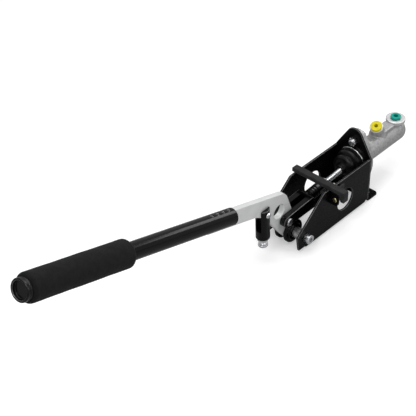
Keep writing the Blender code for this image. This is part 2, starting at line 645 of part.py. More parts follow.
def pull_bar():
    """The rubber-faced bar that limits the pull: it lies across both plates and swings up on its leaf."""
    pin_y = -BRACKET_WIDTH / 2 - BAR_PIN_OUT
    hinge = empty("bar_axis", (EAR_FRONT_X + EAR_SPAN / 2, pin_y, BAR_PIN_Z), parent=bracket_axis)
    low = SIDE_TOP + BAR_OVER_PLATE - BAR_PIN_Z
    left = BRACKET_WIDTH / 2 + BAR_PAST_LEFT - pin_y
    right = -BRACKET_WIDTH / 2 - BAR_PAST_RIGHT - pin_y
    front = BAR_FRONT_X - EAR_FRONT_X - EAR_SPAN / 2
    high, leg_foot, edge = low + BAR_HEIGHT, low + BAR_HEIGHT - BAR_LEG_DROP, BAR_EDGE_ROUND
    corners = [(left, low, edge), (left, high, edge), (right, high, 2 * edge), (right, leg_foot, edge)]
    corners += [(right + BAR_HEIGHT, leg_foot, edge), (right + BAR_HEIGHT, low, edge)]
    beam = flat_mesh(filleted(corners, 4), (), BAR_WIDTH)
    beam.transform(Matrix.Translation((front + BAR_WIDTH / 2, 0, 0)) @ UPRIGHT_YZ)
    bar = place("pull_limit_bar", beam, Matrix(), BAR_RUBBER, hinge)
    half = EAR_SPAN / 2 - EAR_THICKNESS - RUN_GAP
    r, t = BAR_EYE_RADIUS, BAR_LEAF_THICKNESS / 2
    middle = low + BAR_HEIGHT / 2
    lift = math.degrees(math.asin(t / r)) + 18
    leaf = arc((0, 0), r, 180 - lift, 360 + lift, 16)
    leaf += [(t, r + 2 * t), (t, middle), (-t, middle), (-t, r + 2 * t)]
    eye = flat_mesh(leaf, (), half * 2)
    eye.transform(UPRIGHT_YZ)
    combine(bar, place("hinge_leaf", eye, Matrix(), parent=hinge), "UNION")
    bore = rod_mesh(BAR_PIN_DIAMETER + 2 * PIN_PLAY, EAR_SPAN * 2)
    combine(bar, place("leaf_bore", bore, along((-EAR_SPAN, 0, 0), PLUS_X), parent=hinge))
    return hinge


def lever_plate(pivot):
    """The flat cranked plate: a round eye, a wide knee with a lightening hole, and a tang for the tube."""
    turn = Matrix.Rotation(BEND_ANGLE, 2)
    bend = Vector((0, BEND_UP))

    def on_tube(x, z):
        point = Vector((x, z))
        point.rotate(turn)
        return tuple(bend + point)

    rise = (PLATE_HALF_WIDTH - PLATE_EYE_RADIUS) / BIG_HOLE_UP
    lean = math.degrees(math.atan(rise))
    slope = Vector((rise, 1))
    corners = arc((0, 0), PLATE_EYE_RADIUS, 180 + lean, 360 - lean, 14)
    outline = [(x, z, 0) for x, z in corners]
    cos, sin = math.cos(BEND_ANGLE), math.sin(BEND_ANGLE)

    def knee(side, across, start):
        """Where the plate's side meets the shank's side, by solving the two lines."""
        edge = Vector(start)
        shank = Vector(on_tube(side * across, 0))
        ahead = Vector((side * slope.x, slope.y))
        out = Vector((-sin, cos))
        gap = shank - edge
        reach = (gap.x * out.y - gap.y * out.x) / (ahead.x * out.y - ahead.y * out.x)
        return tuple(edge + ahead * reach)

    into = TUBE_START + TUBE_SLOT_LENGTH - SLOT_PLAY
    end = TUBE_START + TANG_LENGTH
    outline.append((*knee(1, SHANK_TOP, corners[-1]), OUTER_BEND_RADIUS))
    lip = TUBE_START - SEAT_GAP
    outline += [(*on_tube(SHANK_TOP, lip), 0), (*on_tube(SHANK_IN_TUBE, lip), 0)]
    outline += [(*on_tube(SHANK_IN_TUBE, end), TANG_CORNER), (*on_tube(-SHANK_IN_TUBE, end), TANG_CORNER)]
    outline += [(*on_tube(-SHANK_IN_TUBE, into), 0), (*on_tube(-SHANK_BOTTOM, into), SOFT_BREAK)]
    outline.append((*knee(-1, SHANK_BOTTOM, corners[0]), INNER_BEND_RADIUS))
    holes = [circle((0, 0), PIVOT_BOLT_DIAMETER + 2 * PIN_PLAY, SMALL_STEPS)]
    holes.append(circle((0, CLEVIS_ARM), CLEVIS_HOLE_DIAMETER, SMALL_STEPS))
    holes.append(circle((0, BIG_HOLE_UP), BIG_HOLE_DIAMETER))
    screw = stop_rod_frame() @ Vector((0, 0, STOP_ROD_SCREW_DOWN))
    holes.append(circle((screw.x, screw.z), STOP_ROD_SCREW_DIAMETER + 2 * PIN_PLAY, SMALL_STEPS))
    mesh = flat_mesh(filleted(outline, 12), holes, LEVER_THICKNESS)
    mesh.transform(UPRIGHT_XZ)
    return place("lever_plate", mesh, Matrix(), BLASTED_STEEL, pivot)


def tube_frame():
    """The handle tube's frame on the lever: +Z along the tube, +X to its upper side."""
    return Matrix.Translation((0, 0, BEND_UP)) @ Matrix.Rotation(-BEND_ANGLE, 4, "Y")


def stop_rod_frame():
    """The stop rod's frame on the lever: origin at its upper end, +Z down the rod."""
    start = Matrix.Translation((-STOP_ROD_TOP_FRONT, 0, STOP_ROD_TOP_UP))
    return start @ Matrix.Rotation(math.pi + STOP_ROD_LEAN, 4, "Y")


def at(frame, x=0.0, y=0.0, z=0.0):
    """A place in a frame."""
    return frame @ Matrix.Translation((x, y, z))


def handle(pivot):
    """Tube, set screws, foam grip and end cap."""
    frame = tube_frame()
    start = at(frame, z=TUBE_START)
    wall = ring_mesh(TUBE_DIAMETER, TUBE_INNER * 2, TUBE_LENGTH)
    tube = place("handle_tube", wall, start, BLACK_GLOSS, pivot)
    wide = LEVER_THICKNESS + 2 * SLOT_PLAY
    under = (-TUBE_DIAMETER / 2 - SHANK_IN_TUBE / 2, 0, 0)
    low = box_mesh((TUBE_DIAMETER, wide, TUBE_SLOT_LENGTH * 2), under)
    combine(tube, place("tube_slot", low, start, parent=pivot))
    top = TUBE_DIAMETER / 2 - SET_SCREW_SINK
    length = top - SHANK_IN_TUBE - SEAT_GAP
    sink, r, socket_r = SET_SCREW_SOCKET_DEPTH, SET_SCREW_DIAMETER / 2, SET_SCREW_SOCKET_ACROSS / 2
    profile = [(0, length - sink), (socket_r, length - sink), (socket_r, length), (r - FINE_BREAK, length)]
    profile += [(r, length - FINE_BREAK), (r, 0), (0, 0)]
    screw = turned_mesh(profile, 12)
    upward = Matrix.Rotation(math.pi / 2, 4, "Y")
    hole = rod_mesh(SET_SCREW_DIAMETER + 2 * SEAT_GAP, TUBE_DIAMETER)
    for i in range(SET_SCREW_COUNT):
        z = TUBE_START + SET_SCREW_FIRST + i * SET_SCREW_PITCH
        seat = at(frame, SHANK_IN_TUBE + SEAT_GAP, 0, z) @ upward
        place(f"tube_set_screw_{i + 1}", screw.copy(), seat, BLACK_PAINT, pivot)
        combine(tube, place("tube_hole", hole, at(frame, 0, 0, z) @ upward, parent=pivot))

    tube_end = TUBE_START + TUBE_LENGTH
    outer, inner, soft = GRIP_DIAMETER / 2, TUBE_DIAMETER / 2 + SEAT_GAP, GRIP_ROUND
    profile = arc((outer - soft, GRIP_LENGTH - soft), soft, 90, 0, 6)
    profile += arc((outer - soft, soft), soft, 0, -90, 6)
    profile += [(inner, 0), (inner, GRIP_LENGTH)]
    grip = turned_mesh(profile, closed=True)
    place("foam_grip", grip, at(frame, z=tube_end - GRIP_LENGTH), FOAM, pivot)

    r, plug_r, rim = CAP_DIAMETER / 2, TUBE_INNER - SEAT_GAP, CAP_RIM_WALL
    t, floor = CAP_THICKNESS, CAP_THICKNESS - CAP_RECESS
    edge, end = SOFT_BREAK, -CAP_PLUG_LENGTH
    profile = [(0, floor), (r - rim - edge, floor), (r - rim, floor + edge), (r - rim, t - edge)]
    profile += [(r - rim + edge, t), (r - edge, t), (r, t - edge), (r, edge), (r - edge, 0), (plug_r, 0)]
    profile += [(plug_r, end + edge), (plug_r - edge, end), (0, end)]
    place("grip_end_cap", turned_mesh(profile), at(frame, z=tube_end + SEAT_GAP), BLACK_GLOSS, pivot)


def stop_rod(pivot):
    """The slotted rod that straddles the plate's edge, its clamp screw and nut, and the stop screw."""
    frame = stop_rod_frame()
    r, length, edge = STOP_ROD_DIAMETER / 2, STOP_ROD_LENGTH, SOFT_BREAK
    profile = [(0, length), (r - edge, length), (r, length - edge), (r, edge), (r - edge, 0), (0, 0)]
    rod = place("stop_rod", turned_mesh(profile), frame, BLACK_GLOSS, pivot)
    wide = LEVER_THICKNESS + 2 * SEAT_GAP
    slit = box_mesh((STOP_ROD_DIAMETER * 2, wide, STOP_ROD_SLOT * 2))
    combine(rod, place("rod_slot", slit, frame, parent=pivot))
    cross = rod_mesh(STOP_ROD_SCREW_DIAMETER + 2 * SEAT_GAP, STOP_ROD_DIAMETER * 2)
    start = at(frame, 0, -STOP_ROD_DIAMETER, STOP_ROD_SCREW_DOWN) @ Matrix.Rotation(-math.pi / 2, 4, "X")
    combine(rod, place("rod_cross_hole", cross, start, parent=pivot))
    tapped = rod_mesh(STOP_SCREW_DIAMETER + 2 * SEAT_GAP, STOP_SCREW_IN * 2)
    combine(rod, place("rod_end_hole", tapped, at(frame, z=length - STOP_SCREW_IN - SEAT_GAP), parent=pivot))

    head_r, shank_r, head = STOP_ROD_SCREW_HEAD / 2, STOP_ROD_SCREW_DIAMETER / 2, STOP_ROD_SCREW_HEAD_LENGTH
    reach = STOP_ROD_DIAMETER + SEAT_GAP + STOP_ROD_NUT_LENGTH + BOLT_POINT
    profile = arc((0, 0), head_r, 90, 0, 6)
    profile = [(x, z * head / head_r) for x, z in profile] + [(shank_r, 0), (shank_r, -reach), (0, -reach)]
    seat = at(frame, 0, -r - SEAT_GAP, STOP_ROD_SCREW_DOWN) @ Matrix.Rotation(math.pi / 2, 4, "X")
    place("stop_rod_screw", turned_mesh(profile, SMALL_STEPS), seat, ZINC, pivot)
    behind = at(frame, 0, r + SEAT_GAP, STOP_ROD_SCREW_DOWN) @ Matrix.Rotation(-math.pi / 2, 4, "X")
    nut = place("stop_rod_nut", hex_mesh(STOP_ROD_NUT_ACROSS, STOP_ROD_NUT_LENGTH), behind, ZINC, pivot)
    bore = rod_mesh(STOP_ROD_SCREW_DIAMETER + 2 * SEAT_GAP, STOP_ROD_NUT_LENGTH * 4)
    combine(nut, place("rod_nut_bore", bore, at(behind, z=-STOP_ROD_NUT_LENGTH * 2), parent=pivot))

    shank_r, foot_r, foot = STOP_SCREW_DIAMETER / 2, STOP_SCREW_FOOT_DIAMETER / 2, STOP_SCREW_FOOT_LENGTH
    end = STOP_SCREW_OUT
    neck, edge = shank_r - EDGE_BREAK, EDGE_BREAK
    profile = [(0, end), (foot_r - edge, end), (foot_r, end - edge), (foot_r, end - foot), (neck, end - foot)]
    profile += [(neck, STOP_NUT_LENGTH + 2 * edge), (shank_r, STOP_NUT_LENGTH + edge)]
    profile += [(shank_r, -STOP_SCREW_IN), (0, -STOP_SCREW_IN)]
    place("stop_screw", turned_mesh(profile, SMALL_STEPS), at(frame, z=length), ZINC, pivot)
    under = at(frame, z=length + SEAT_GAP)
    nut = place("stop_screw_nut", hex_mesh(STOP_NUT_ACROSS, STOP_NUT_LENGTH), under, ZINC, pivot)
    bore = rod_mesh(STOP_SCREW_DIAMETER + 2 * SEAT_GAP, STOP_NUT_LENGTH * 3)
    combine(nut, place("stop_nut_bore", bore, at(under, z=-STOP_NUT_LENGTH), parent=pivot))


def clevis(rod_axis):
    """The fork that takes the lever plate, with its pin, clip and jam nut."""
    along_x = Matrix.Rotation(math.pi / 2, 4, "Y")
    nose, half = -ROD_SPAN - FORK_NOSE, FORK_HEIGHT / 2
    nose_round = half - SEAT_GAP
    slot_end = nose + FORK_SLOT_DEPTH
    block_end = slot_end + FORK_BLOCK_LENGTH
    neck_end = block_end + FORK_NECK_LENGTH
    side = [(nose, -half, nose_round), (block_end, -half, FORK_CORNER), (block_end, half, FORK_CORNER)]
    side.append((nose, half, nose_round))
    body = flat_mesh(filleted(side), (), FORK_WIDTH)
    body.transform(UPRIGHT_XZ)
    fork = place("clevis_fork", body, Matrix(), BLACK_GLOSS, rod_axis)
    r, deep, wide = FORK_NECK_DIAMETER / 2, FORK_GROOVE_DEPTH, FORK_GROOVE_WIDTH
    profile = [(0, FORK_NECK_LENGTH), (r - SOFT_BREAK, FORK_NECK_LENGTH), (r, FORK_NECK_LENGTH - SOFT_BREAK)]
    for i in reversed(range(FORK_GROOVE_COUNT)):
        low = wide * (1 + 2 * i)
        profile += [(r, low + wide), (r - deep, low + wide - SEAT_GAP), (r - deep, low + SEAT_GAP), (r, low)]
    profile += [(r, -FORK_BLOCK_LENGTH / 2), (0, -FORK_BLOCK_LENGTH / 2)]
    neck_at = Matrix.Translation((block_end, 0, 0)) @ along_x
    neck = place("fork_neck", turned_mesh(profile), neck_at, parent=rod_axis)
    combine(fork, neck, "UNION")
    gap = LEVER_THICKNESS + 2 * SLOT_PLAY
    slit = box_mesh((FORK_SLOT_DEPTH * 2, gap, FORK_HEIGHT * 2), (nose, 0, 0))
    combine(fork, place("fork_slot", slit, Matrix(), parent=rod_axis))
    pin_at = Matrix.Translation((-ROD_SPAN, 0, 0))
    across = Matrix.Rotation(-math.pi / 2, 4, "X")
    hole = rod_mesh(CLEVIS_PIN_DIAMETER + 2 * SEAT_GAP, FORK_WIDTH * 2)
    combine(fork, place("fork_pin_hole", hole, at(pin_at, y=-FORK_WIDTH) @ across, parent=rod_axis))
    tapped = rod_mesh(PUSH_ROD_DIAMETER + 2 * SEAT_GAP, ROD_THREAD_IN_FORK * 2)
    tap_at = Matrix.Translation((neck_end - ROD_THREAD_IN_FORK, 0, 0)) @ along_x
    combine(fork, place("fork_tapped_hole", tapped, tap_at, parent=rod_axis))

    r, head_r = CLEVIS_PIN_DIAMETER / 2, CLEVIS_PIN_HEAD_DIAMETER / 2
    through = FORK_WIDTH + 2 * SEAT_GAP
    groove = through + CLIP_FROM_FORK - SEAT_GAP
    groove_end = groove + CLIP_THICKNESS + 2 * SEAT_GAP
    tail, groove_r = through + CLEVIS_PIN_TAIL, CLIP_GROOVE_DIAMETER / 2
    head, edge = -CLEVIS_PIN_HEAD_LENGTH, EDGE_BREAK
    profile = [(0, tail), (r - edge, tail), (r, tail - edge), (r, groove_end), (groove_r, groove_end)]
    profile += [(groove_r, groove), (r, groove), (r, 0), (head_r, 0), (head_r, head + edge)]
    profile += [(head_r - edge, head), (0, head)]
    near = pin_at @ Matrix.Translation((0, -FORK_WIDTH / 2 - SEAT_GAP, 0)) @ across
    place("clevis_pin", turned_mesh(profile, SMALL_STEPS), near, ZINC, rod_axis)
    outer, inner = CLIP_OUTER_DIAMETER / 2, groove_r + SEAT_GAP
    ring = arc((0, 0), outer, CLIP_OPENING, 360 - CLIP_OPENING, 20)
    ring += arc((0, 0), inner, 360 - CLIP_OPENING, CLIP_OPENING, 16)
    clip = flat_mesh(ring, (), CLIP_THICKNESS)
    clip_at = at(near, z=groove + SEAT_GAP + CLIP_THICKNESS / 2)
    place("clevis_clip", clip, clip_at, ZINC, rod_axis)

    nut_at = Matrix.Translation((neck_end + SEAT_GAP, 0, 0)) @ along_x
    nut = place("jam_nut", hex_mesh(JAM_NUT_ACROSS, JAM_NUT_LENGTH), nut_at, ZINC, rod_axis)
    bore = rod_mesh(PUSH_ROD_DIAMETER + 2 * SEAT_GAP, JAM_NUT_LENGTH * 3)
    combine(nut, place("jam_nut_bore", bore, at(nut_at, z=-JAM_NUT_LENGTH), parent=rod_axis))

    front = neck_end - ROD_THREAD_IN_FORK + 2 * SEAT_GAP
    r, ball = PUSH_ROD_DIAMETER / 2, ROD_BALL_DIAMETER / 2
    meet = math.degrees(math.asin(r / ball))
    profile = arc((0, 0), ball, 90, -90 + meet, 14)
    profile += [(r, front + SOFT_BREAK), (r - SOFT_BREAK, front), (0, front)]
    place("push_rod", turned_mesh(profile, SMALL_STEPS), along_x, ZINC, rod_axis)


def on_axis(x):
    """The frame on the cylinder's axis at this x, with +Z pointing to the rear."""
    return Matrix.Translation((x, 0, CYLINDER_AXIS_Z)) @ Matrix.Rotation(math.pi / 2, 4, "Y")


def piston_line(slide):
    """Piston and its two cups, in the frame of the sliding empty at the push rod's ball."""
    front = Matrix.Translation((-PISTON_SEAT_DEPTH, 0, 0)) @ Matrix.Rotation(math.pi / 2, 4, "Y")
    land, waist, nose = PISTON_LAND_DIAMETER / 2, PISTON_WAIST_DIAMETER / 2, PISTON_NOSE_DIAMETER / 2
    waist_start = PISTON_FRONT_LAND
    waist_end = waist_start + PISTON_WAIST_LENGTH
    rear = waist_end + PISTON_REAR_LAND
    end = rear + PISTON_NOSE_LENGTH
    seat = ROD_BALL_DIAMETER / 2 + SEAT_GAP
    profile = [(0, end), (nose, end), (nose, rear), (land, rear), (land, waist_end), (waist, waist_end)]
    profile += [(waist, waist_start), (land, waist_start), (land, 0), (seat, 0)]
    profile += arc((0, PISTON_SEAT_DEPTH), seat, 0, 90, 8)
    place("piston", turned_mesh(profile), front, CAST_ALUMINIUM, slide)
    lip, outer = CUP_LIP, BORE_DIAMETER / 2 - SEAT_GAP
    for name, bore, z in (("primary_cup", nose, rear), ("secondary_cup", waist, waist_start)):
        inner = bore + SEAT_GAP
        ring = [(outer, CUP_LENGTH), (outer - lip * 2, 0), (inner, 0), (inner, CUP_LENGTH - lip * 3)]
        ring += [(outer - lip * 2, CUP_LENGTH - lip * 2), (outer - lip, CUP_LENGTH)]
        place(name, turned_mesh(ring, closed=True), at(front, z=z + SEAT_GAP), RUBBER, slide)
    return PISTON_FRONT_X + rear + SEAT_GAP + CUP_LENGTH


def inside_bore(cup_end):
    """Return spring, stop washer and circlip in the bore."""
    r, wire = RETURN_SPRING_DIAMETER / 2 - RETURN_SPRING_WIRE / 2, RETURN_SPRING_WIRE / 2
    x0, x1 = cup_end + SEAT_GAP + wire, BORE_END_X - SEAT_GAP - wire
    steps = 10 * RETURN_SPRING_TURNS
    closed_coil = 2.2 * wire
    curve = bpy.data.curves.new("return_spring", "CURVE")
    curve.dimensions = "3D"
    curve.bevel_depth = wire
    curve.bevel_resolution = 1
    curve.use_fill_caps = True
    spline = curve.splines.new("POLY")
    spline.points.add(steps)
    for i, point in enumerate(spline.points):
        share = i / steps
        eased = min(max((share - 1 / RETURN_SPRING_TURNS) / (1 - 2 / RETURN_SPRING_TURNS), 0), 1)
        low = closed_coil * min(share * RETURN_SPRING_TURNS, 1)
        high = closed_coil * min((1 - share) * RETURN_SPRING_TURNS, 1)
        x = x0 + low + (x1 - x0 - 2 * closed_coil) * eased + (closed_coil - high)
        turn = 2 * math.pi * RETURN_SPRING_TURNS * share
        point.co = (x, r * math.cos(turn), CYLINDER_AXIS_Z + r * math.sin(turn), 1)
    guide = bpy.data.objects.new("return_spring_path", curve)
    cutters.objects.link(guide)
    mesh = evaluated_mesh(guide)
    bpy.data.objects.remove(guide)
    place("return_spring", mesh, Matrix(), ZINC)

    washer_x = PISTON_FRONT_X - SEAT_GAP - STOP_WASHER_THICKNESS
    washer = ring_mesh(BORE_DIAMETER - 2 * SEAT_GAP, STOP_WASHER_BORE, STOP_WASHER_THICKNESS)
    place("stop_washer", washer, on_axis(washer_x), ZINC)
    clip_x = washer_x - SEAT_GAP - CIRCLIP_THICKNESS
    outer = BORE_DIAMETER / 2 + CIRCLIP_GROOVE - SEAT_GAP
    half = math.degrees(CIRCLIP_OPENING) / 2
    ring = arc((0, 0), outer, half, 360 - half, 24)
    ring += arc((0, 0), outer - CIRCLIP_RADIAL, 360 - half, half, 20)
    clip = flat_mesh(ring, (), CIRCLIP_THICKNESS)
    place("circlip", clip, on_axis(clip_x + CIRCLIP_THICKNESS / 2), ZINC)
    return clip_x


def cylinder_flange():
    """The diamond flange outline: two ears round the bolts that run into a broad middle."""
    lean = CYLINDER_FLANGE_SLOPE
    high = CYLINDER_BOLT_SPACING / 2 + CYLINDER_EAR_RADIUS / math.sin(lean)
    wide = high * math.tan(lean)
    broad = (wide - CYLINDER_FLANGE_HALF_WIDTH) / (1 / math.cos(lean) - 1)
    ear, hole = CYLINDER_EAR_RADIUS, CYLINDER_BOLT_SPACING / 2
    corners = [(0, high, ear), (wide, 0, broad), (0, -high, ear), (-wide, 0, broad)]
    holes = [circle((0, side * hole), FLOOR_HOLE_DIAMETER, SMALL_STEPS) for side in (-1, 1)]
    return filleted(corners, 10), holes


def outlet_frame():
    """The leaning outlet boss's frame, from the cylinder's axis outwards."""
    lean, turn = OUTLET_LEAN, OUTLET_TURN
    way = Vector((-math.sin(lean) * math.cos(turn), -math.sin(turn), math.cos(lean))).normalized()
    return along((OUTLET_BASE_X, OUTLET_BASE_Y, CYLINDER_AXIS_Z), way)


def master_cylinder(clip_x):
    """The cast body: spigot, diamond flange, round-ended barrel, reservoir riser, leaning outlet and web."""
    spigot, r = SPIGOT_DIAMETER / 2, BODY_DIAMETER / 2
    front = FLANGE_SEAT_X - SPIGOT_LENGTH
    barrel_end = RISER_X - front
    shoulder = SPIGOT_LENGTH + CYLINDER_FLANGE_THICKNESS / 2
    profile = arc((0, barrel_end), r, 90, 0, 10) + [(r, shoulder), (spigot, shoulder)]
    profile += [(spigot, SOFT_BREAK), (spigot - SOFT_BREAK, 0), (0, 0)]
    body = place("master_cylinder_body", turned_mesh(profile), on_axis(front), CAST_ALUMINIUM)
    outline, holes = cylinder_flange()
    flange = flat_mesh(outline, holes, CYLINDER_FLANGE_THICKNESS)
    flange.transform(UPRIGHT_YZ)
    middle = (FLANGE_SEAT_X + CYLINDER_FLANGE_THICKNESS / 2, 0, CYLINDER_AXIS_Z)
    combine(body, place("flange_shape", flange, Matrix.Translation(middle)), "UNION")

    neck_z = RISER_TOP_Z + RISER_NECK_LENGTH
    disc_z = neck_z + RISER_DISC_THICKNESS
    riser, neck, disc = RISER_DIAMETER / 2, RISER_NECK_DIAMETER / 2, RISER_DISC_DIAMETER / 2
    edge, top, brow = CAST_EDGE, RISER_TOP_Z, 3 * CAST_EDGE
    profile = [(0, disc_z), (disc - edge, disc_z), (disc, disc_z - edge), (disc, neck_z + edge)]
    profile += [(disc - edge, neck_z), (neck, neck_z), (neck, top + edge), (riser - brow, top)]
    profile += [(riser, top - brow), (riser, CYLINDER_AXIS_Z), (0, CYLINDER_AXIS_Z)]
    stand = Matrix.Translation((RISER_X, 0, 0))
    combine(body, place("riser_shape", turned_mesh(profile), stand), "UNION")

    tilt = outlet_frame()
    boss, reach, skirt, root = OUTLET_DIAMETER / 2, OUTLET_REACH, OUTLET_SKIRT, r * 0.4
    profile = [(0, reach), (boss - edge, reach), (boss, reach - edge), (boss, r + 1.5 * skirt)]
    profile += [(boss + skirt / 3, r + skirt / 2), (boss + skirt, r - edge), (boss + skirt, root), (0, root)]
    combine(body, place("outlet_shape", turned_mesh(profile), tilt), "UNION")
    low = CYLINDER_AXIS_Z + r / 2
    corners = [(WEB_FRONT_X + brow, low, 0), (RISER_X, low, 0), (RISER_X - 2 * edge, neck_z - edge, 2 * edge)]
    corners += [(RISER_X - disc - edge, WEB_TOP_Z, brow), (WEB_FRONT_X, WEB_TOP_Z, brow)]
    web = flat_mesh(filleted(corners), (), WEB_WIDTH)
    web.transform(UPRIGHT_XZ)
    combine(body, place("web_shape", web, Matrix()), "UNION")

    bore, groove = BORE_DIAMETER / 2, BORE_DIAMETER / 2 + CIRCLIP_GROOVE
    deep = BORE_END_X - front
    clip, wide = clip_x - front - SEAT_GAP, CIRCLIP_THICKNESS + 2 * SEAT_GAP
    before = -SPIGOT_LENGTH
    profile = [(0, deep), (bore - edge, deep), (bore, deep - edge), (bore, clip + wide)]
    profile += [(groove, clip + wide), (groove, clip), (bore, clip), (bore, before), (0, before)]
    combine(body, place("cylinder_bore", turned_mesh(profile), on_axis(front)))
    port = rod_mesh(PORT_DIAMETER, PORT_DEPTH * 2)
    passage = rod_mesh(PASSAGE_DIAMETER, disc_z - CYLINDER_AXIS_Z, 12)
    combine(body, place("reservoir_port", port, at(stand, z=disc_z - PORT_DEPTH)))
    combine(body, place("reservoir_passage", passage, at(stand, z=CYLINDER_AXIS_Z)))
    combine(body, place("outlet_port", port, at(tilt, z=reach - PORT_DEPTH)))
    passage = rod_mesh(PASSAGE_DIAMETER, reach - PORT_DEPTH / 2, 12)
    combine(body, place("outlet_passage", passage, at(tilt, z=PASSAGE_DIAMETER / 2)))

    hexagon = hex_mesh(GREEN_PLUG_ACROSS, GREEN_PLUG_HEAD)
    port_plug("reservoir_plug", hexagon, at(stand, z=disc_z + SEAT_GAP), GREEN_PLUG_BORE, GREEN_PLASTIC)
    disc = rod_mesh(YELLOW_PLUG_DIAMETER, YELLOW_PLUG_HEAD, ROUND_STEPS, EDGE_BREAK)
    port_plug("outlet_plug", disc, at(tilt, z=reach + SEAT_GAP), YELLOW_PLUG_BORE, YELLOW_PLASTIC)


def port_plug(name, head, frame, bore, finish):
    """A hollow shipping plug: a head, a shank in the port and a blind hole from outside."""
    plug = place(name, head, frame, finish)
    shank = rod_mesh(PORT_DIAMETER - 2 * SEAT_GAP, PLUG_SHANK_LENGTH + EDGE_BREAK)
    combine(plug, place(name + "_shank", shank, at(frame, z=-PLUG_SHANK_LENGTH)), "UNION")
    hollow = rod_mesh(bore, PLUG_SHANK_LENGTH * 2)
    combine(plug, place(name + "_hole", hollow, at(frame, z=PLUG_FLOOR - PLUG_SHANK_LENGTH)))


def flange_fasteners():
    """The two bolts that hold the cylinder to the end plate, and their nuts."""
    r, washer = CYLINDER_BOLT_DIAMETER / 2, CYLINDER_BOLT_WASHER / 2
    shank = FLANGE_REAR_X + SEAT_GAP - (END_PLATE_X - SEAT_GAP - CYLINDER_NUT_LENGTH - BOLT_POINT)
    thin = CYLINDER_BOLT_WASHER_THICKNESS
    profile = [(0, thin), (washer - FINE_BREAK, thin), (washer, thin - FINE_BREAK), (washer, 0), (r, 0)]
    profile += [(r, EDGE_BREAK - shank), (r - EDGE_BREAK, -shank), (0, -shank)]
    stem = turned_mesh(profile, SMALL_STEPS)
    head = hex_mesh(CYLINDER_BOLT_ACROSS, CYLINDER_BOLT_HEAD - thin / 2, thin / 2)
    nut = hex_mesh(CYLINDER_NUT_ACROSS, CYLINDER_NUT_LENGTH)
    bore = rod_mesh(CYLINDER_BOLT_DIAMETER + 2 * SEAT_GAP, CYLINDER_NUT_LENGTH * 3)
    heads_x = FLANGE_REAR_X + SEAT_GAP
    nuts_x = END_PLATE_X - SEAT_GAP - CYLINDER_NUT_LENGTH
    for name, side in (("upper", -1), ("lower", 1)):
        line = at(on_axis(0), x=side * CYLINDER_BOLT_SPACING / 2)
        bolt = place(name + "_flange_bolt", stem.copy(), at(line, z=heads_x), ZINC)
        combine(bolt, place(name + "_bolt_head", head, at(line, z=heads_x)), "UNION")
        holder = place(name + "_flange_nut", nut.copy(), at(line, z=nuts_x), ZINC)
        combine(holder, place(name + "_nut_bore", bore, at(line, z=nuts_x - CYLINDER_NUT_LENGTH)))


def dust_boot():
    """The stepped rubber boot between the push rod and the end plate, and the ring round its mouth."""
    mouth = END_PLATE_X - SEAT_GAP
    length = mouth - BOOT_NOSE_X
    nose, ring, big = BOOT_NOSE_RADIUS, BOOT_RING_RADIUS, BOOT_MOUTH_RADIUS
    dip = BOOT_DIP
    wave = [(0, nose), (0.17, nose), (0.22, nose + dip / 2), (0.27, ring - dip * 0.7), (0.31, ring)]
    wave += [(0.42, ring), (0.46, ring - dip / 2), (0.51, ring - dip), (0.56, ring - dip / 2)]
    wave += [(0.62, big - dip * 0.6), (0.68, big), (1, big)]
    outer = [(radius, share * length) for share, radius in reversed(wave)]
    rod = PUSH_ROD_DIAMETER / 2 + RUN_GAP
    inner = [(rod, 0), (rod, 0.16 * length)]
    inner += [(radius - BOOT_WALL, (share + 0.03) * length) for share, radius in wave[2:-1]]
    inner.append((big - BOOT_WALL, length))
    boot = turned_mesh(outer + inner, closed=True)
    for vert in boot.vertices:
        share = vert.co.z / length
        follow = min(max((BOOT_FOLLOW_END - share) / (BOOT_FOLLOW_END - BOOT_FOLLOW_START), 0), 1)
        vert.co.x += math.tan(ROD_RISE) * (PISTON_SEAT.x - BOOT_NOSE_X - vert.co.z) * follow
    place("dust_boot", boot, on_axis(BOOT_NOSE_X), RUBBER)
    hold = (big + SEAT_GAP) * 2
    clamp = ring_mesh(CLAMP_RING_RADIUS * 2, hold, CLAMP_RING_WIDTH, ROUND_STEPS, FINE_BREAK)
    place("boot_clamp_ring", clamp, on_axis(mouth - CLAMP_RING_WIDTH), ZINC)


side_plate("left_side_plate", 1)
side_plate("right_side_plate", -1)
end_plate()
pivot_stack()
bar_hinge()
pull_bar()
lever = empty("lever_axis", PIVOT, (0, -REST_TILT, 0), bracket_axis)
lever_plate(lever)
handle(lever)
stop_rod(lever)
slide_axis = empty("piston_axis", PISTON_SEAT, (0, 0, 0), bracket_axis)
rod_axis = empty("push_rod_axis", (0, 0, 0), (0, -ROD_RISE, 0), slide_axis)
clevis(rod_axis)
spring_start = piston_line(slide_axis)
master_cylinder(inside_bore(spring_start))
flange_fasteners()
dust_boot()
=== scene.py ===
# %% [markdown]
# # A hydraulic parking brake lever
#
# A steel floor bracket holds a master cylinder. A cranked plate turns on a bolt at the bracket's front and
# carries a tube with a foam grip. A fork, pinned to the plate, pushes the cylinder's piston when the lever is
# pulled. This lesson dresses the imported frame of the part: it loads the frame, makes a small set of surface
# tools with numpy, mixes one finish after another, and then makes each visible piece in its real place.

import math

import bmesh
import bpy
import numpy as np
from mathutils import Matrix, Vector, geometry


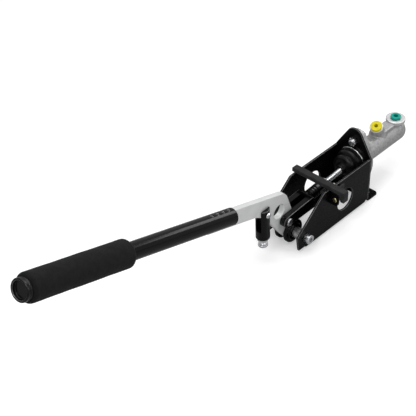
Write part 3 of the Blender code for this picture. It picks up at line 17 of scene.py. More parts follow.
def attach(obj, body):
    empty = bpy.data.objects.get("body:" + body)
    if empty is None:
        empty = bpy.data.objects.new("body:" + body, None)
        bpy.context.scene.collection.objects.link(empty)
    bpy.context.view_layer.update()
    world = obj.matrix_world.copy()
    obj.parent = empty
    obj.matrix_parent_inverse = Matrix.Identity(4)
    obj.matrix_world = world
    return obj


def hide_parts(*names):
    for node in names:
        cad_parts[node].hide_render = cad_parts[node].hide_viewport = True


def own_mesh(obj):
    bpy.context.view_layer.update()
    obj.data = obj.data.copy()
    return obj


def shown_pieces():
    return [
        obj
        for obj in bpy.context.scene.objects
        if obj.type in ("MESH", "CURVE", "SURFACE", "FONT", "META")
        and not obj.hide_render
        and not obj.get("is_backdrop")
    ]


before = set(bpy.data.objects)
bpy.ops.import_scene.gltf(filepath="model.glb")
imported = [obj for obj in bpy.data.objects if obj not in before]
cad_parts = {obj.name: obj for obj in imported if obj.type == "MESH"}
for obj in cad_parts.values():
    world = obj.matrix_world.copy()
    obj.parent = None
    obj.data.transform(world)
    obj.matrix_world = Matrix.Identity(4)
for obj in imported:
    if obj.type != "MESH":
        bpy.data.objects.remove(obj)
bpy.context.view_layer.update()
print("nodes in the frame:", len(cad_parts))

# %% [markdown]
# ## The main sizes and places
#
# Every piece is worked out in the part's own frame, in metres: the origin is on the floor between the rear
# foot's slots, +X points to the cylinder and +Z up. The lever, its tube, the stop rod and the push rod each
# have a frame of their own, so that a piece can be drawn straight and then set in place by one matrix. The
# alternative, turning every profile by hand, hides the real sizes in a tangle of sines.

# %% Sizes and frames
GAP = 0.0003
SHEET = 0.003
BRACKET_HALF = 0.029
SIDE_TOP = 0.0705
REAR = 0.132
CYLINDER_Z = 0.0555
PISTON_SEAT_X = 0.1455
LEVER_TILT = math.radians(30)
BEND_ANGLE = math.radians(43)
BEND_UP = 0.073
LEVER_THICKNESS = 0.008
CLEVIS_ARM = 0.030
STOP_ROD_LEAN = math.radians(27)
BOLT_R, BOLT_HOLE_R = 0.004, 0.0044
THREAD_R, PITCH = 0.00395, 0.00125
NUT_ACROSS, NUT_BORE = 0.013, 0.0086
WASHER_R = 0.00825


def shift(x=0.0, y=0.0, z=0.0):
    """A move as a matrix."""
    return Matrix.Translation((x, y, z))


def at(base, x=0.0, y=0.0, z=0.0):
    """A frame moved inside another."""
    return base @ shift(x, y, z)


def turn_y(angle):
    """A turn about Y as a matrix."""
    return Matrix.Rotation(angle, 4, "Y")


PIVOT = Vector((-0.147, 0, 0.0195))
PISTON_SEAT = Vector((PIVOT.x + PISTON_SEAT_X, 0, CYLINDER_Z))
LEVER = Matrix.Translation(PIVOT) @ turn_y(-LEVER_TILT)
TUBE = at(LEVER, z=BEND_UP) @ turn_y(-BEND_ANGLE)
ROD_IN_PLATE = shift(-0.0145, 0, 0.083) @ turn_y(math.pi + STOP_ROD_LEAN)
STOP_ROD = LEVER @ ROD_IN_PLATE
clevis = LEVER @ Vector((0, 0, CLEVIS_ARM))
ROD_RISE = math.atan2(PISTON_SEAT.z - clevis.z, PISTON_SEAT.x - clevis.x)
ROD_SPAN = (PISTON_SEAT - clevis).length
ROD = Matrix.Translation(PISTON_SEAT) @ turn_y(-ROD_RISE)
QUARTER_Y = turn_y(math.pi / 2)
TO_LEFT = Matrix.Rotation(-math.pi / 2, 4, "X")
TO_RIGHT = Matrix.Rotation(math.pi / 2, 4, "X")
YZ = Matrix(((0, 0, 1, 0), (1, 0, 0, 0), (0, 1, 0, 0), (0, 0, 0, 1)))
rise_degrees = round(math.degrees(ROD_RISE), 1)
print("push rod, pin to ball:", round(ROD_SPAN * 1000, 1), "mm, rising", rise_degrees, "degrees")


def on_axis(x):
    """The frame on the cylinder's axis, x metres behind the pivot, with +Z to the rear."""
    return shift(PIVOT.x + x, 0, CYLINDER_Z) @ QUARTER_Y


# %% [markdown]
# ## Surface tools
#
# Most of this object was turned on a lathe, pressed from plate or cut from hexagon bar. Each of those is a
# surface over a grid of two parameters. A turned piece carries a profile round an axis. A hexagon does the
# same with a radius that grows towards its corners, and a thread does it with a radius that waves along the
# axis. A plate carries a rounded edge profile round its outline and closes the two faces. Each tool gives a
# shell, which is an array of points and a list of faces, so a finer piece costs nothing in code.

# %% From a shell to a piece
SHARP = 32.0
WELD = 2e-6


def to_mesh(name, points, faces):
    """A mesh of points and faces."""
    mesh = bpy.data.meshes.new(name)
    mesh.from_pydata(np.asarray(points, dtype=float).tolist(), [], [tuple(int(i) for i in f) for f in faces])
    return mesh


def welded(mesh):
    """A mesh opened for changes, with points that lie together made one."""
    shape = bmesh.new()
    shape.from_mesh(mesh)
    bmesh.ops.remove_doubles(shape, verts=shape.verts, dist=WELD)
    return shape


def positions(mesh):
    """The points of a mesh as rows of x, y and z."""
    flat = np.zeros(len(mesh.vertices) * 3)
    mesh.vertices.foreach_get("co", flat)
    return flat.reshape(-1, 3)


def placed(name, data):
    """An object in the scene that holds this mesh, light or camera."""
    made = bpy.data.objects.new(name, data)
    bpy.context.scene.collection.objects.link(made)
    return made


def to_object(name, shell, matrix, sharp=SHARP):
    """A shell in a frame becomes one closed mesh: faces outwards, and edges above the angle sharp."""
    mesh = to_mesh(name, *shell)
    shape = welded(mesh)
    bmesh.ops.dissolve_degenerate(shape, edges=shape.edges, dist=1e-7)
    bmesh.ops.recalc_face_normals(shape, faces=shape.faces)
    shape.to_mesh(mesh)
    shape.free()
    mesh.transform(matrix)
    mesh.shade_smooth()
    mesh.set_sharp_from_angle(angle=math.radians(sharp))
    return placed(name, mesh)


def keep_flats(piece):
    """Normals weighted by face area, so that a flat face stays flat right up to its rounded edge."""
    normals = piece.modifiers.new("flat_faces", "WEIGHTED_NORMAL")
    normals.weight = 90
    normals.keep_sharp = True


def to_piece(name, shell, matrix, finish, node=None, body="bracket", sharp=SHARP):
    """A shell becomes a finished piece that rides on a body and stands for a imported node."""
    piece = to_object(name, shell, matrix, sharp)
    piece.data.materials.append(finish)
    if sharp < 40:
        keep_flats(piece)
    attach(piece, body)
    if node:
        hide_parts(node)
    print(name, "has", len(piece.data.polygons), "faces")
    return piece


def bake(piece, sharp=None):
    """The mesh that a piece's modifiers give takes the place of its own."""
    bpy.context.view_layer.update()
    seen = piece.evaluated_get(bpy.context.evaluated_depsgraph_get())
    mesh = bpy.data.meshes.new_from_object(seen)
    piece.modifiers.clear()
    piece.data = mesh
    mesh.shade_smooth()
    if sharp:
        mesh.set_sharp_from_angle(angle=math.radians(sharp))


def cut(piece, shell, matrix, operation="DIFFERENCE"):
    """Takes a shell out of a piece, or adds it, with an exact Boolean that is applied at once."""
    tool = to_object("tool", shell, matrix)
    old = piece.data
    piece.modifiers.clear()
    step = piece.modifiers.new("cut", "BOOLEAN")
    step.object = tool
    step.operation = operation
    step.solver = "EXACT"
    bake(piece, SHARP)
    piece.data.name = old.name
    bpy.data.meshes.remove(old)
    bpy.data.objects.remove(tool)
    keep_flats(piece)


def grid_faces(rows, columns, wrap_rows=False, wrap_columns=False):
    """Quads of a grid whose point (i, j) has the number i * columns + j."""
    i = np.arange(rows if wrap_rows else rows - 1)[:, None]
    j = np.arange(columns if wrap_columns else columns - 1)[None, :]
    below, above = i * columns, ((i + 1) % rows) * columns
    left, right = j, (j + 1) % columns
    return np.stack([below + left, below + right, above + right, above + left], axis=-1).reshape(-1, 4)


def soft_path(corners, steps=6, closed=False):
    """A path through corners (x, y, radius), each rounded by an arc that touches both of its sides."""
    flat = np.array([c[:2] for c in corners], dtype=float)
    points = []
    for i, corner in enumerate(corners):
        radius = corner[2] if len(corner) > 2 else 0
        if radius <= 0 or (not closed and i in (0, len(corners) - 1)):
            points.append(flat[i][None])
            continue
        before = flat[i - 1] - flat[i]
        after = flat[(i + 1) % len(flat)] - flat[i]
        before, after = before / np.linalg.norm(before), after / np.linalg.norm(after)
        half = math.acos(float(np.clip(before @ after, -1, 1))) / 2
        centre = flat[i] + (before + after) / np.linalg.norm(before + after) * radius / math.sin(half)
        x, y = flat[i] + before * radius / math.tan(half) - centre
        last = flat[i] + after * radius / math.tan(half) - centre
        turn = math.atan2(x * last[1] - y * last[0], x * last[0] + y * last[1])
        t = np.linspace(0, turn, steps + 1)
        points.append(centre + np.stack([x * np.cos(t) - y * np.sin(t), x * np.sin(t) + y * np.cos(t)], 1))
    return np.vstack(points)


def circle(x, y, radius, angles):
    """The points x + r cos a, y + r sin a."""
    return np.stack([x + radius * np.cos(angles), y + radius * np.sin(angles)], axis=1)


def round_hole(x, y, diameter, steps=48):
    """A whole circle, as an outline or a hole."""
    return circle(x, y, diameter / 2, np.linspace(0, 2 * math.pi, steps, endpoint=False))


# %% Turned, threaded, hexagonal and flat shells
def around(steps):
    """Angles once round, as a column."""
    return np.linspace(0, 2 * math.pi, steps, endpoint=False)[:, None]


def swept(r, t, h):
    """The grid x = r cos t, y = r sin t, z = h as a list of points."""
    return np.stack([r * np.cos(t), r * np.sin(t), h + 0 * t], axis=-1).reshape(-1, 3)


def turned(profile, steps=72, closed=False):
    """Radius and height carried round Z: x = r cos t, y = r sin t, z = h."""
    r, h = np.asarray(profile, dtype=float).T
    return swept(r[None], around(steps), h[None]), grid_faces(steps, len(r), True, closed)


def lathe(corners, arc=4, steps=48, closed=False):
    """The same for a path with rounded corners (radius, height, arc's radius)."""
    return turned(soft_path(corners, arc, closed), steps, closed)


def threaded(start, end, depth=0.0005, taper=0.0008, steps=48, per_turn=10):
    """A helix in the radius: r = R - depth * (1 + cos(2 pi z / pitch - t)) / 2, fading out at both ends. The
    grid runs round by t and along by z, and its ends close on the axis."""
    count = int(abs(end - start) / PITCH * per_turn) + 1
    h = np.linspace(start, end, count)[None]
    t = around(steps)
    groove = depth * (1 + np.cos(2 * math.pi * h / PITCH - t)) / 2
    edge = np.minimum(np.abs(h - start), np.abs(h - end))
    r = THREAD_R - groove - np.maximum(taper - edge, 0) * 0.8
    r = np.pad(r, ((0, 0), (1, 1)))
    h = np.pad(h, ((0, 0), (1, 1)), mode="edge")
    return swept(r, t, h), grid_faces(steps, count + 2, True)


def hexagonal(across, length, bore=0.0, chamfer=0.0006, dish=0.0, steps=72):
    """A hexagon bar turned down at its ends: the radius is the flat's across / 2 / cos t, never past the cone
    that chamfers the corners. With a bore the inside is round. A dish sinks the middle of the upper face."""
    share = np.array([0, 0.6, 1, 1, 1, 1, 0.6, 0])
    h = np.array([0, 0, 0, chamfer, length - chamfer, length, length, length - dish])
    open_cone, flat_end, corner = 9, across * 0.49, across * 0.565
    cone = np.array([open_cone, open_cone, flat_end, corner, corner, flat_end, open_cone, open_cone])
    t = around(steps)
    flat = across / 2 / np.cos((t + math.pi / 6) % (math.pi / 3) - math.pi / 6)
    r = bore / 2 + (np.minimum(flat, cone[None]) - bore / 2) * share[None]
    return swept(r, t, h[None]), grid_faces(steps, len(h), True, bore > 0)


def plate(outline, holes, thickness, edge=0.0005, steps=4):
    """A plate in XY: an edge profile, rounded by the edge radius, carried round every loop, with both faces
    closed. Each point goes in along the mitre of its two sides by edge * (1 - sin t)."""
    t = np.linspace(0, math.pi / 2, steps + 1)
    inset = edge * (1 - np.sin(t))
    height = thickness / 2 - edge * (1 - np.cos(t))
    inset = np.concatenate([inset, inset[::-1]])
    height = np.concatenate([height, -height[::-1]])
    points, faces, top, start = [], [], [], 0
    for k, loop in enumerate([outline, *holes]):
        loop = np.asarray(loop, dtype=float)
        loop = loop[np.linalg.norm(loop - np.roll(loop, 1, axis=0), axis=1) > 1e-6]
        x, y = loop.T
        area = np.sum(x * np.roll(y, -1) - np.roll(x, -1) * y)
        if (area > 0) != (k == 0):
            loop = loop[::-1]
        ahead = np.roll(loop, -1, axis=0) - loop
        ahead /= np.linalg.norm(ahead, axis=1)[:, None]
        outward = np.stack([ahead[:, 1], -ahead[:, 0]], axis=1)
        out = outward + np.roll(outward, 1, axis=0)
        out /= np.linalg.norm(out, axis=1)[:, None]
        mitre = 1 / np.clip(np.sum(out * outward, axis=1), 0.5, 1)
        ring = loop[:, None, :] - (out * mitre[:, None])[:, None, :] * inset[None, :, None]
        ring = np.concatenate([ring, np.broadcast_to(height[None, :, None], ring.shape[:2] + (1,))], axis=2)
        n, m = ring.shape[:2]
        faces.append(grid_faces(n, m, True) + start)
        points.append(ring.reshape(-1, 3))
        top.append(start + m * np.arange(n))
        start += n * m
    points = np.vstack(points)
    order = np.concatenate(top).tolist()
    fill = geometry.tessellate_polygon([[Vector(points[i]) for i in loop] for loop in top])
    rims = np.vstack(faces).tolist()
    rims += [[order[i] for i in tri] for tri in fill]
    rims += [[order[i] + len(inset) - 1 for i in reversed(tri)] for tri in fill]
    return points, rims


def block(size, centre):
    """A box as a shell."""
    corners = np.array([(x, y, z) for x in (-0.5, 0.5) for y in (-0.5, 0.5) for z in (-0.5, 0.5)])
    faces = [(0, 1, 3, 2), (4, 6, 7, 5), (0, 4, 5, 1), (2, 3, 7, 6), (0, 2, 6, 4), (1, 5, 7, 3)]
    return corners * np.asarray(size) + np.asarray(centre), faces


def joined(*shells):
    """Several closed shells as one list of points and faces."""
    points, faces, start = [], [], 0
    for p, f in shells:
        points.append(np.asarray(p))
        faces += [[int(i) + start for i in face] for face in f]
        start += len(p)
    return np.vstack(points), faces


def moved(shell, matrix):
    """A shell carried by a matrix."""
    points, faces = shell
    m = np.array(matrix)
    return np.asarray(points) @ m[:3, :3].T + m[:3, 3], faces


# %% [markdown]
# ## Finishes
#
# A finish is more than a colour. Paint has a faint orange-peel surface, a casting has grain and dull pits, a
# turned face has rings. Each finish below is one Principled shader whose colour, roughness and bump read
# noise on Object coordinates, so the pattern stays on the metal when the part moves. Image textures would do
# the same, but they need files and unwrapping, and they blur in a close view.

# %% Finish tools
class Mix:
    """A node tree in the making. Each method adds one node and gives the socket that comes out of it."""

    def __init__(self, tree, shader):
        self.nodes, self.link, self.base = tree.nodes, tree.links.new, tree.nodes[shader]

    def fill(self, node, values):
        """Sets or links sockets by name or number."""
        for key, value in values.items():
            if isinstance(value, bpy.types.NodeSocket):
                self.link(value, node.inputs[key])
            else:
                node.inputs[key].default_value = value

    def add(self, kind, operation, *sources, output=0):
        """A node with an operation, whose first sockets take these sources."""
        node = self.nodes.new("ShaderNode" + kind)
        node.operation = operation
        self.fill(node, dict(enumerate(sources)))
        return node.outputs[output]

    def place(self):
        """Object coordinates, in metres."""
        return self.nodes.new("ShaderNodeTexCoord").outputs["Object"]

    def ray(self, kind):
        """1 for rays of this kind and 0 for others."""
        return self.nodes.new("ShaderNodeLightPath").outputs[kind]

    def noise(self, scale, detail=3.0, rough=0.55):
        """Noise, in cycles per metre."""
        node = self.nodes.new("ShaderNodeTexNoise")
        self.fill(node, {"Scale": scale, "Detail": detail, "Roughness": rough, "Vector": self.place()})
        return node.outputs["Fac"]

    def cells(self, scale):
        """Distance to the nearest of many scattered points."""
        node = self.nodes.new("ShaderNodeTexVoronoi")
        self.fill(node, {"Scale": scale, "Vector": self.place()})
        return node.outputs["Distance"]

    def spread(self, source, low, high, start=0.35, end=0.65):
        """A pattern stretched to run from low to high."""
        node = self.nodes.new("ShaderNodeMapRange")
        self.fill(node, {"Value": source, "From Min": start, "From Max": end, "To Min": low, "To Max": high})
        return node.outputs["Result"]

    def tint(self, source, dark, light, start=0.35, end=0.65):
        """A colour ramp from dark to light along a pattern."""
        node = self.nodes.new("ShaderNodeValToRGB")
        for stop, place, colour in zip(node.color_ramp.elements, (start, end), (dark, light)):
            stop.position = place
            stop.color = (*colour, 1)
        self.link(source, node.inputs["Fac"])
        return node.outputs["Color"]

    def bump(self, source, height, strength=1.0, under=None):
        """A bump of this height in metres, on top of another one if there is one."""
        node = self.nodes.new("ShaderNodeBump")
        self.fill(node, {"Strength": strength, "Distance": height, "Height": source})
        if under:
            self.link(under, node.inputs["Normal"])
        return node.outputs["Normal"]


def shader(name):
    """A new material, and its Principled shader to mix."""
    made = bpy.data.materials.new(name)
    made.use_nodes = True
    return made, Mix(made.node_tree, "Principled BSDF")


def grey(level):
    """A grey, from a single level."""
    return level, level, level


def finish(name, dark, light, rough, metallic, patch, grain, relief, specular=0.5, extra=None):
    """One finish: slow patches of colour, roughness that follows a fine grain, and that grain as relief."""
    made, mix = shader(name)
    slow, fine = mix.noise(patch, 4.0), mix.noise(grain, 2.0, 0.6)
    mix.fill(mix.base, {
        "Base Color": mix.tint(slow, dark, light), "Roughness": mix.spread(fine, *rough),
        "Normal": mix.bump(fine, relief), "Metallic": metallic, "Specular IOR Level": specular,
        **(extra or {}),
    })
    return made


# %% [markdown]
# ### Painted steel
#
# The bracket is powder coated: a thick satin skin that dries a little wavy. Its rounded edges get a lighter
# grey finish, a painted highlight for the thin bright lines that the edges catch. The tube, the fork and the
# slotted rod carry a glossier black. The thrust discs lie between the two. All of them stay near black, so
# nearly everything that shows is reflection, and the shape of the relief matters more than the colour. The
# small set screws are bare at the bottom of their holes, so they show as bright points.

# %% Painted finishes
powder_black = finish("powder_black", (0.0016, 0.0016, 0.0018), (0.0032, 0.0032, 0.0035), (0.2, 0.3), 0.0,
                      45, 650, 0.00003, 0.07)
# painted highlight: this lighter grey goes on rounded edges in place of the bright lines that they catch
edge_highlight_black = finish("edge_highlight_black", (0.035, 0.035, 0.037), (0.09, 0.09, 0.093), (0.2, 0.32), 0.0,
                    160, 650, 0.00002)
gloss_black = finish("gloss_black", (0.0008, 0.0008, 0.0009), (0.0016, 0.0016, 0.0018), (0.1, 0.17), 0.0,
                     40, 420, 0.000012, 0.2)
disc_black = finish("disc_black", (0.001, 0.001, 0.0011), (0.002, 0.002, 0.0022), (0.12, 0.2), 0.0,
                    70, 700, 0.00002, 0.2)
screw_black = finish("screw_black", grey(0.28), grey(0.4), (0.2, 0.32), 1.0, 300, 1500, 0.00002)
print("painted finishes ready:", powder_black.name, gloss_black.name, disc_black.name)

# %% [markdown]
# ### Bare and plated metal
#
# The lever plate is blasted: a flat, bright, satin grey with no direction in it. The bolts are zinc plated, a
# cool silver with slight clouds. The spacers and springs are darker bare steel. The hinge pin is yellow zinc,
# whose thin film drifts between straw and green.

# %% Metal finishes
blasted_steel = finish("blasted_steel", (0.70, 0.71, 0.705), (0.79, 0.80, 0.795), (0.40, 0.54), 0.5,
                       35, 2600, 0.00003)
cut_steel = finish("cut_steel", (0.62, 0.63, 0.63), (0.76, 0.77, 0.77), (0.22, 0.38), 0.9, 120, 1800, 0.00002)
zinc = finish("zinc", (0.62, 0.63, 0.65), (0.80, 0.81, 0.83), (0.16, 0.3), 1.0, 180, 1400, 0.00001)
spring_steel = finish("spring_steel", (0.42, 0.42, 0.43), (0.6, 0.6, 0.61), (0.25, 0.35), 1.0,
                      200, 1500, 0.00001)
yellow_zinc = finish("yellow_zinc", (0.62, 0.60, 0.30), (0.80, 0.66, 0.36), (0.2, 0.34), 1.0,
                     260, 1500, 0.00001)
print("metal finishes ready:", blasted_steel.name, zinc.name, spring_steel.name, yellow_zinc.name)

# %% [markdown]
# ### Cast aluminium
#
# The cylinder is cast in a mould and shot blasted, so it is grey, grainy and dull, with small bright peaks
# where shot has burnished them. Two noises do this: a coarse one for the cast skin and a fine one for the
# grain, whose peaks are lighter and smoother. Only the port faces are machined, which leaves fine rings.

# %% Casting and machined face
RISER_X = 0.226


def cast_finish():
    """Colour, roughness and relief all follow the same grain, so that each peak is light, smooth and high."""
    made, mix = shader("cast_aluminium")
    grain, skin = mix.noise(1500, 3.0, 0.7), mix.noise(260, 4.0, 0.6)
    both = mix.add("Math", "MULTIPLY_ADD", skin, 0.45, mix.add("Math", "MULTIPLY", grain, 0.55))
    mix.fill(mix.base, {
        "Base Color": mix.tint(both, (0.27, 0.27, 0.272), (0.5, 0.5, 0.498), 0.36, 0.64),
        "Roughness": mix.spread(both, 0.62, 0.4),
        "Normal": mix.bump(grain, 0.00012, 0.7, mix.bump(skin, 0.00025, 0.5)),
        "Metallic": 0.75,
    })
    return made


def ringed_finish(name, dark, light, centre, axis, pitch=0.0003):
    """Turned metal: a sine of the distance from the axis makes the rings, which show in colour and relief."""
    made, mix = shader(name)
    offset = mix.add("VectorMath", "SUBTRACT", mix.place(), centre)
    across = mix.add("VectorMath", "CROSS_PRODUCT", offset, axis)
    away = mix.add("VectorMath", "LENGTH", across, output="Value")
    ring = mix.add("Math", "SINE", mix.add("Math", "MULTIPLY", away, 2 * math.pi / pitch))
    mix.fill(mix.base, {
        "Base Color": mix.tint(ring, dark, light, 0.0, 1.0), "Normal": mix.bump(ring, 0.00001, 0.6),
        "Metallic": 1.0, "Roughness": 0.36,
    })
    return made


cast_aluminium = cast_finish()
riser_face = ringed_finish("riser_face", grey(0.66), grey(0.8), (PIVOT.x + RISER_X, 0, 0), (0, 0, 1))
print("casting finishes ready:", cast_aluminium.name, riser_face.name)

# %% [markdown]
# ### Rubber, foam and plastic
#
# The boot is smooth moulded rubber, the limit bar has a dull dusty skin, and the grip is foam: matte, with
# tiny closed cells and a faint sheen where the cell walls catch light from the side. The two port plugs are
# soft bright plastic, which lets a little light into the material.

# %% Soft finishes
boot_rubber = finish("boot_rubber", (0.002, 0.002, 0.0021), (0.004, 0.004, 0.0042), (0.26, 0.38), 0.0,
                     90, 900, 0.00003, 0.22)
bar_rubber = finish("bar_rubber", (0.015, 0.015, 0.016), (0.026, 0.026, 0.027), (0.7, 0.88), 0.0,
                    120, 1400, 0.00008, 0.2)
cap_black = finish("cap_black", grey(0.002), grey(0.004), (0.14, 0.24), 0.0, 60, 500, 0.00001, 0.3)
SOFT_PLASTIC = {"Subsurface Weight": 0.08, "Subsurface Scale": 0.001}
green_plastic = finish("green_plastic", (0.0, 0.27, 0.22), (0.0, 0.34, 0.27), (0.3, 0.42), 0.0,
                       220, 900, 0.00002, 0.25, SOFT_PLASTIC)
yellow_plastic = finish("yellow_plastic", (0.60, 0.52, 0.003), (0.70, 0.62, 0.005), (0.3, 0.42), 0.0,
                        220, 900, 0.00002, 0.25, SOFT_PLASTIC)


def foam_finish():
    """Closed cells: a cell pattern pits the surface, and the colour is a painted shade, a little darker in
    the pits.
    """
    made, mix = shader("grip_foam")
    cells, slow = mix.cells(1600), mix.noise(130, 3.0)
    # painted shade: the colour follows the cells of the bump and is darker in their pits
    mix.fill(mix.base, {
        "Base Color": mix.tint(cells, grey(0.0025), grey(0.0075), 0.05, 0.5),
        "Roughness": mix.spread(slow, 0.74, 0.9),
        "Normal": mix.bump(cells, 0.00018, 0.8, mix.bump(slow, 0.0006, 0.35)),
        "Sheen Weight": 0.03, "Sheen Roughness": 0.5, "Specular IOR Level": 0.12,
    })
    return made


grip_foam = foam_finish()
print("finishes:", len(bpy.data.materials))

# %% [markdown]
# ## The folded bracket
#
# The side plates and the end plate are 3 mm sheet, cut flat and folded once. They are made here as they are
# in the shop: the flat blank is drawn as a plate with rounded edges, cut across at the fold lines, and rolled
# round the fold. Where s is the height above the fold line, a point with s below zero goes round an arc of
# the fold's middle radius and then lies flat. Drawing the folded shape directly would need the arc and the
# plate edges matched by hand at each corner.

# %% Fold a blank
FOLD_MIDDLE = 0.0015 + SHEET / 2
FOLD_ARC = FOLD_MIDDLE * math.pi / 2
FOLD_Z = SHEET / 2 + FOLD_MIDDLE
SHEET_EDGE, FOLD_STEPS = 0.0009, 8


def paint_edge_highlights(piece, way, above=-1.0):
    """Painted highlight on the rounded edges: faces with a normal neither along the sheet's way nor across it
    take the lighter grey edge finish, which stands in for the bright lines that the edges catch.
    """
    piece.data.materials.append(edge_highlight_black)
    for face in piece.data.polygons:
        if 0.12 < abs(face.normal.dot(way)) < 0.98 and face.center.z > above:
            face.material_index = 1


def folded_piece(name, outline, holes, matrix, node):
    """Angle = -s / m, between 0 and a right angle: inward = m - r cos angle, up = fold height - r sin angle.
    Here m is the fold's middle radius, and r is m with the distance outward from the sheet's middle."""
    mesh = to_mesh("blank", *plate(outline, holes, SHEET, SHEET_EDGE))
    shape = welded(mesh)
    for k in range(FOLD_STEPS + 1):
        everything = shape.verts[:] + shape.edges[:] + shape.faces[:]
        line = (0, -FOLD_ARC * k / FOLD_STEPS, 0)
        bmesh.ops.bisect_plane(shape, geom=everything, plane_co=line, plane_no=(0, 1, 0), dist=1e-6)
    shape.to_mesh(mesh)
    shape.free()
    u, s, outward = positions(mesh).T
    angle = np.clip(-s / FOLD_MIDDLE, 0, math.pi / 2)
    radius = FOLD_MIDDLE + outward
    inward = FOLD_MIDDLE - radius * np.cos(angle) + np.maximum(-s - FOLD_ARC, 0)
    up = FOLD_Z + np.maximum(s, 0) - radius * np.sin(angle)
    rolled = np.stack([u, inward, up], axis=1), [tuple(f.vertices) for f in mesh.polygons]
    bpy.data.meshes.remove(mesh)
    piece = to_piece(name, rolled, matrix, powder_black, node)
    # painted highlight: lighter grey on the rounded edges of the folded sheet
    paint_edge_highlights(piece, matrix.to_3x3() @ Vector((0, 1, 0)), FOLD_Z + 0.0005)


def flat_length(reach):
    """Where a flange that reaches this far from the plate's outer face ends on the flat blank."""
    return -FOLD_ARC - (reach - SHEET / 2 - FOLD_MIDDLE)


# %% Side plates
FLANGE, FLANGE_START, FLANGE_STOP = flat_length(0.013), 0.003, REAR - 0.0043
TOP = SIDE_TOP - FOLD_Z
side_outline = soft_path([
    (-0.0137, 0, 0.003), (FLANGE_START, 0, 0), (FLANGE_START, FLANGE, 0.004), (FLANGE_STOP, FLANGE, 0.004),
    (FLANGE_STOP, 0, 0), (REAR - GAP, 0, 0), (REAR - GAP, TOP, 0.0008), (0.034, TOP, 0.006),
    (-0.0173, 0.0264 - FOLD_Z, 0.004),
], 10, True)
window = round_hole(0.081, 0.0345 - FOLD_Z, 0.032, 72)
side_holes = [window, round_hole(0, PIVOT.z - FOLD_Z, 2 * BOLT_HOLE_R, 40)]
for word, side in (("left", 1), ("right", -1)):
    y = side * (BRACKET_HALF - SHEET / 2)
    where = Matrix(((1, 0, 0, PIVOT.x), (0, -side, 0, y), (0, 0, 1, 0), (0, 0, 0, 1)))
    folded_piece(word + "_side_sheet", side_outline, side_holes, where, word + "_side_plate")

# %% End plate
PEAK, PEAK_ROUND = 0.1065, 0.013
SLOT_X, SLOT_Y, SLOT_HALF = 0.147, 0.014, 0.00175
HOLE = 0.0085
FLANGE_BOLT_OUT = 0.032
slope = math.atan2(BRACKET_HALF, PEAK - SIDE_TOP)
for _ in range(4):
    apex = PEAK + PEAK_ROUND * (1 / math.sin(slope) - 1)
    slope = math.atan2(BRACKET_HALF, apex - SIDE_TOP)
foot = flat_length(0.024)
end_outline = soft_path([
    (-BRACKET_HALF, 0, 0), (-BRACKET_HALF, TOP, 0.002), (0, apex - FOLD_Z, PEAK_ROUND),
    (BRACKET_HALF, TOP, 0.002), (BRACKET_HALF, 0, 0), (BRACKET_HALF, foot, 0.005),
    (-BRACKET_HALF, foot, 0.005),
], 14, True)
middle, slot_s = CYLINDER_Z - FOLD_Z, flat_length(SLOT_X - REAR)
end_holes = [round_hole(0, middle, 0.0291, 72)]
for side in (-1, 1):
    right = round_hole(side * SLOT_Y + SLOT_HALF, slot_s, HOLE, 32)
    left = round_hole(side * SLOT_Y - SLOT_HALF, slot_s, HOLE, 32)
    end_holes.append(round_hole(0, middle + side * FLANGE_BOLT_OUT, HOLE, 32))
    end_holes.append(np.vstack([right[24:], right[:9], left[8:25]]))
where = Matrix(((0, 1, 0, PIVOT.x + REAR + SHEET / 2), (1, 0, 0, 0), (0, 0, 1, 0), (0, 0, 0, 1)))
folded_piece("end_sheet", end_outline, end_holes, where, "end_plate")

# %% [markdown]
# ## The pivot
#
# One long socket-head bolt carries the lever. On each side of the plate a black thrust disc keeps it upright,
# and a plain steel tube fills the way to the bracket. All are turned, so each is one profile carried round
# the bolt's line. The socket in the head is cut with a hexagon.

# %% Pivot bolt, nut, discs and spacers
HEAD, HEAD_R = 0.008, 0.0065
BOLT_LENGTH, PLAIN_LENGTH = 0.070, 0.050
under_head = shift(PIVOT.x, -BRACKET_HALF - GAP, PIVOT.z) @ TO_RIGHT
profile = soft_path([(0, HEAD), (HEAD_R, HEAD, 0.0008), (HEAD_R, 0, 0.0003), (BOLT_R, 0),
                     (BOLT_R, -PLAIN_LENGTH)], 4)
t = np.linspace(-PLAIN_LENGTH, -0.0685, 150)
thread = 0.00385 + 0.00018 * np.cos(2 * math.pi * t / PITCH)
profile = np.vstack([profile, np.stack([thread, t], axis=1), [(0.0033, -BOLT_LENGTH), (0, -BOLT_LENGTH)]])
bolt = to_piece("pivot_bolt_turned", turned(profile, 64), under_head, zinc, "pivot_bolt")
cut(bolt, hexagonal(0.006, HEAD), at(under_head, z=0.004))

nut_at = shift(PIVOT.x, BRACKET_HALF + GAP, PIVOT.z) @ TO_LEFT
washer = [(BOLT_HOLE_R, 0), (WASHER_R, 0, 0.0004), (WASHER_R, 0.0015, 0.0005), (BOLT_HOLE_R, 0.0015)]
nut = moved(hexagonal(NUT_ACROSS, 0.0068, 0.0088, 0.001), shift(z=0.0012))
to_piece("pivot_nut_turned", joined(lathe(washer, 4, 64, True), nut), nut_at, zinc, "pivot_nut")

disc = [(BOLT_HOLE_R, 0), (0.0165, 0, 0.0014), (0.0165, 0.0056, 0.0014), (0.0122, 0.0056, 0.0006),
        (0.0110, 0.0068, 0.0006), (BOLT_HOLE_R, 0.0068)]
SPACER_R, SPACER_LENGTH = 0.0075, 0.0141
spacer = [(BOLT_HOLE_R, 0, 0.0003), (SPACER_R, 0, 0.0005), (SPACER_R, SPACER_LENGTH, 0.0005),
          (BOLT_HOLE_R, SPACER_LENGTH, 0.0003)]
for word, turn, side in (("left", TO_LEFT, 1), ("right", TO_RIGHT, -1)):
    seat = shift(PIVOT.x, side * 0.0044, PIVOT.z) @ turn
    to_piece(word + "_disc_turned", lathe(disc, 6, 96, True), seat, disc_black, word + "_thrust_disc")
    tube_shell = lathe(spacer, 3, 64, True)
    to_piece(word + "_spacer_turned", tube_shell, at(seat, z=0.0071), spring_steel, word + "_spacer_tube")

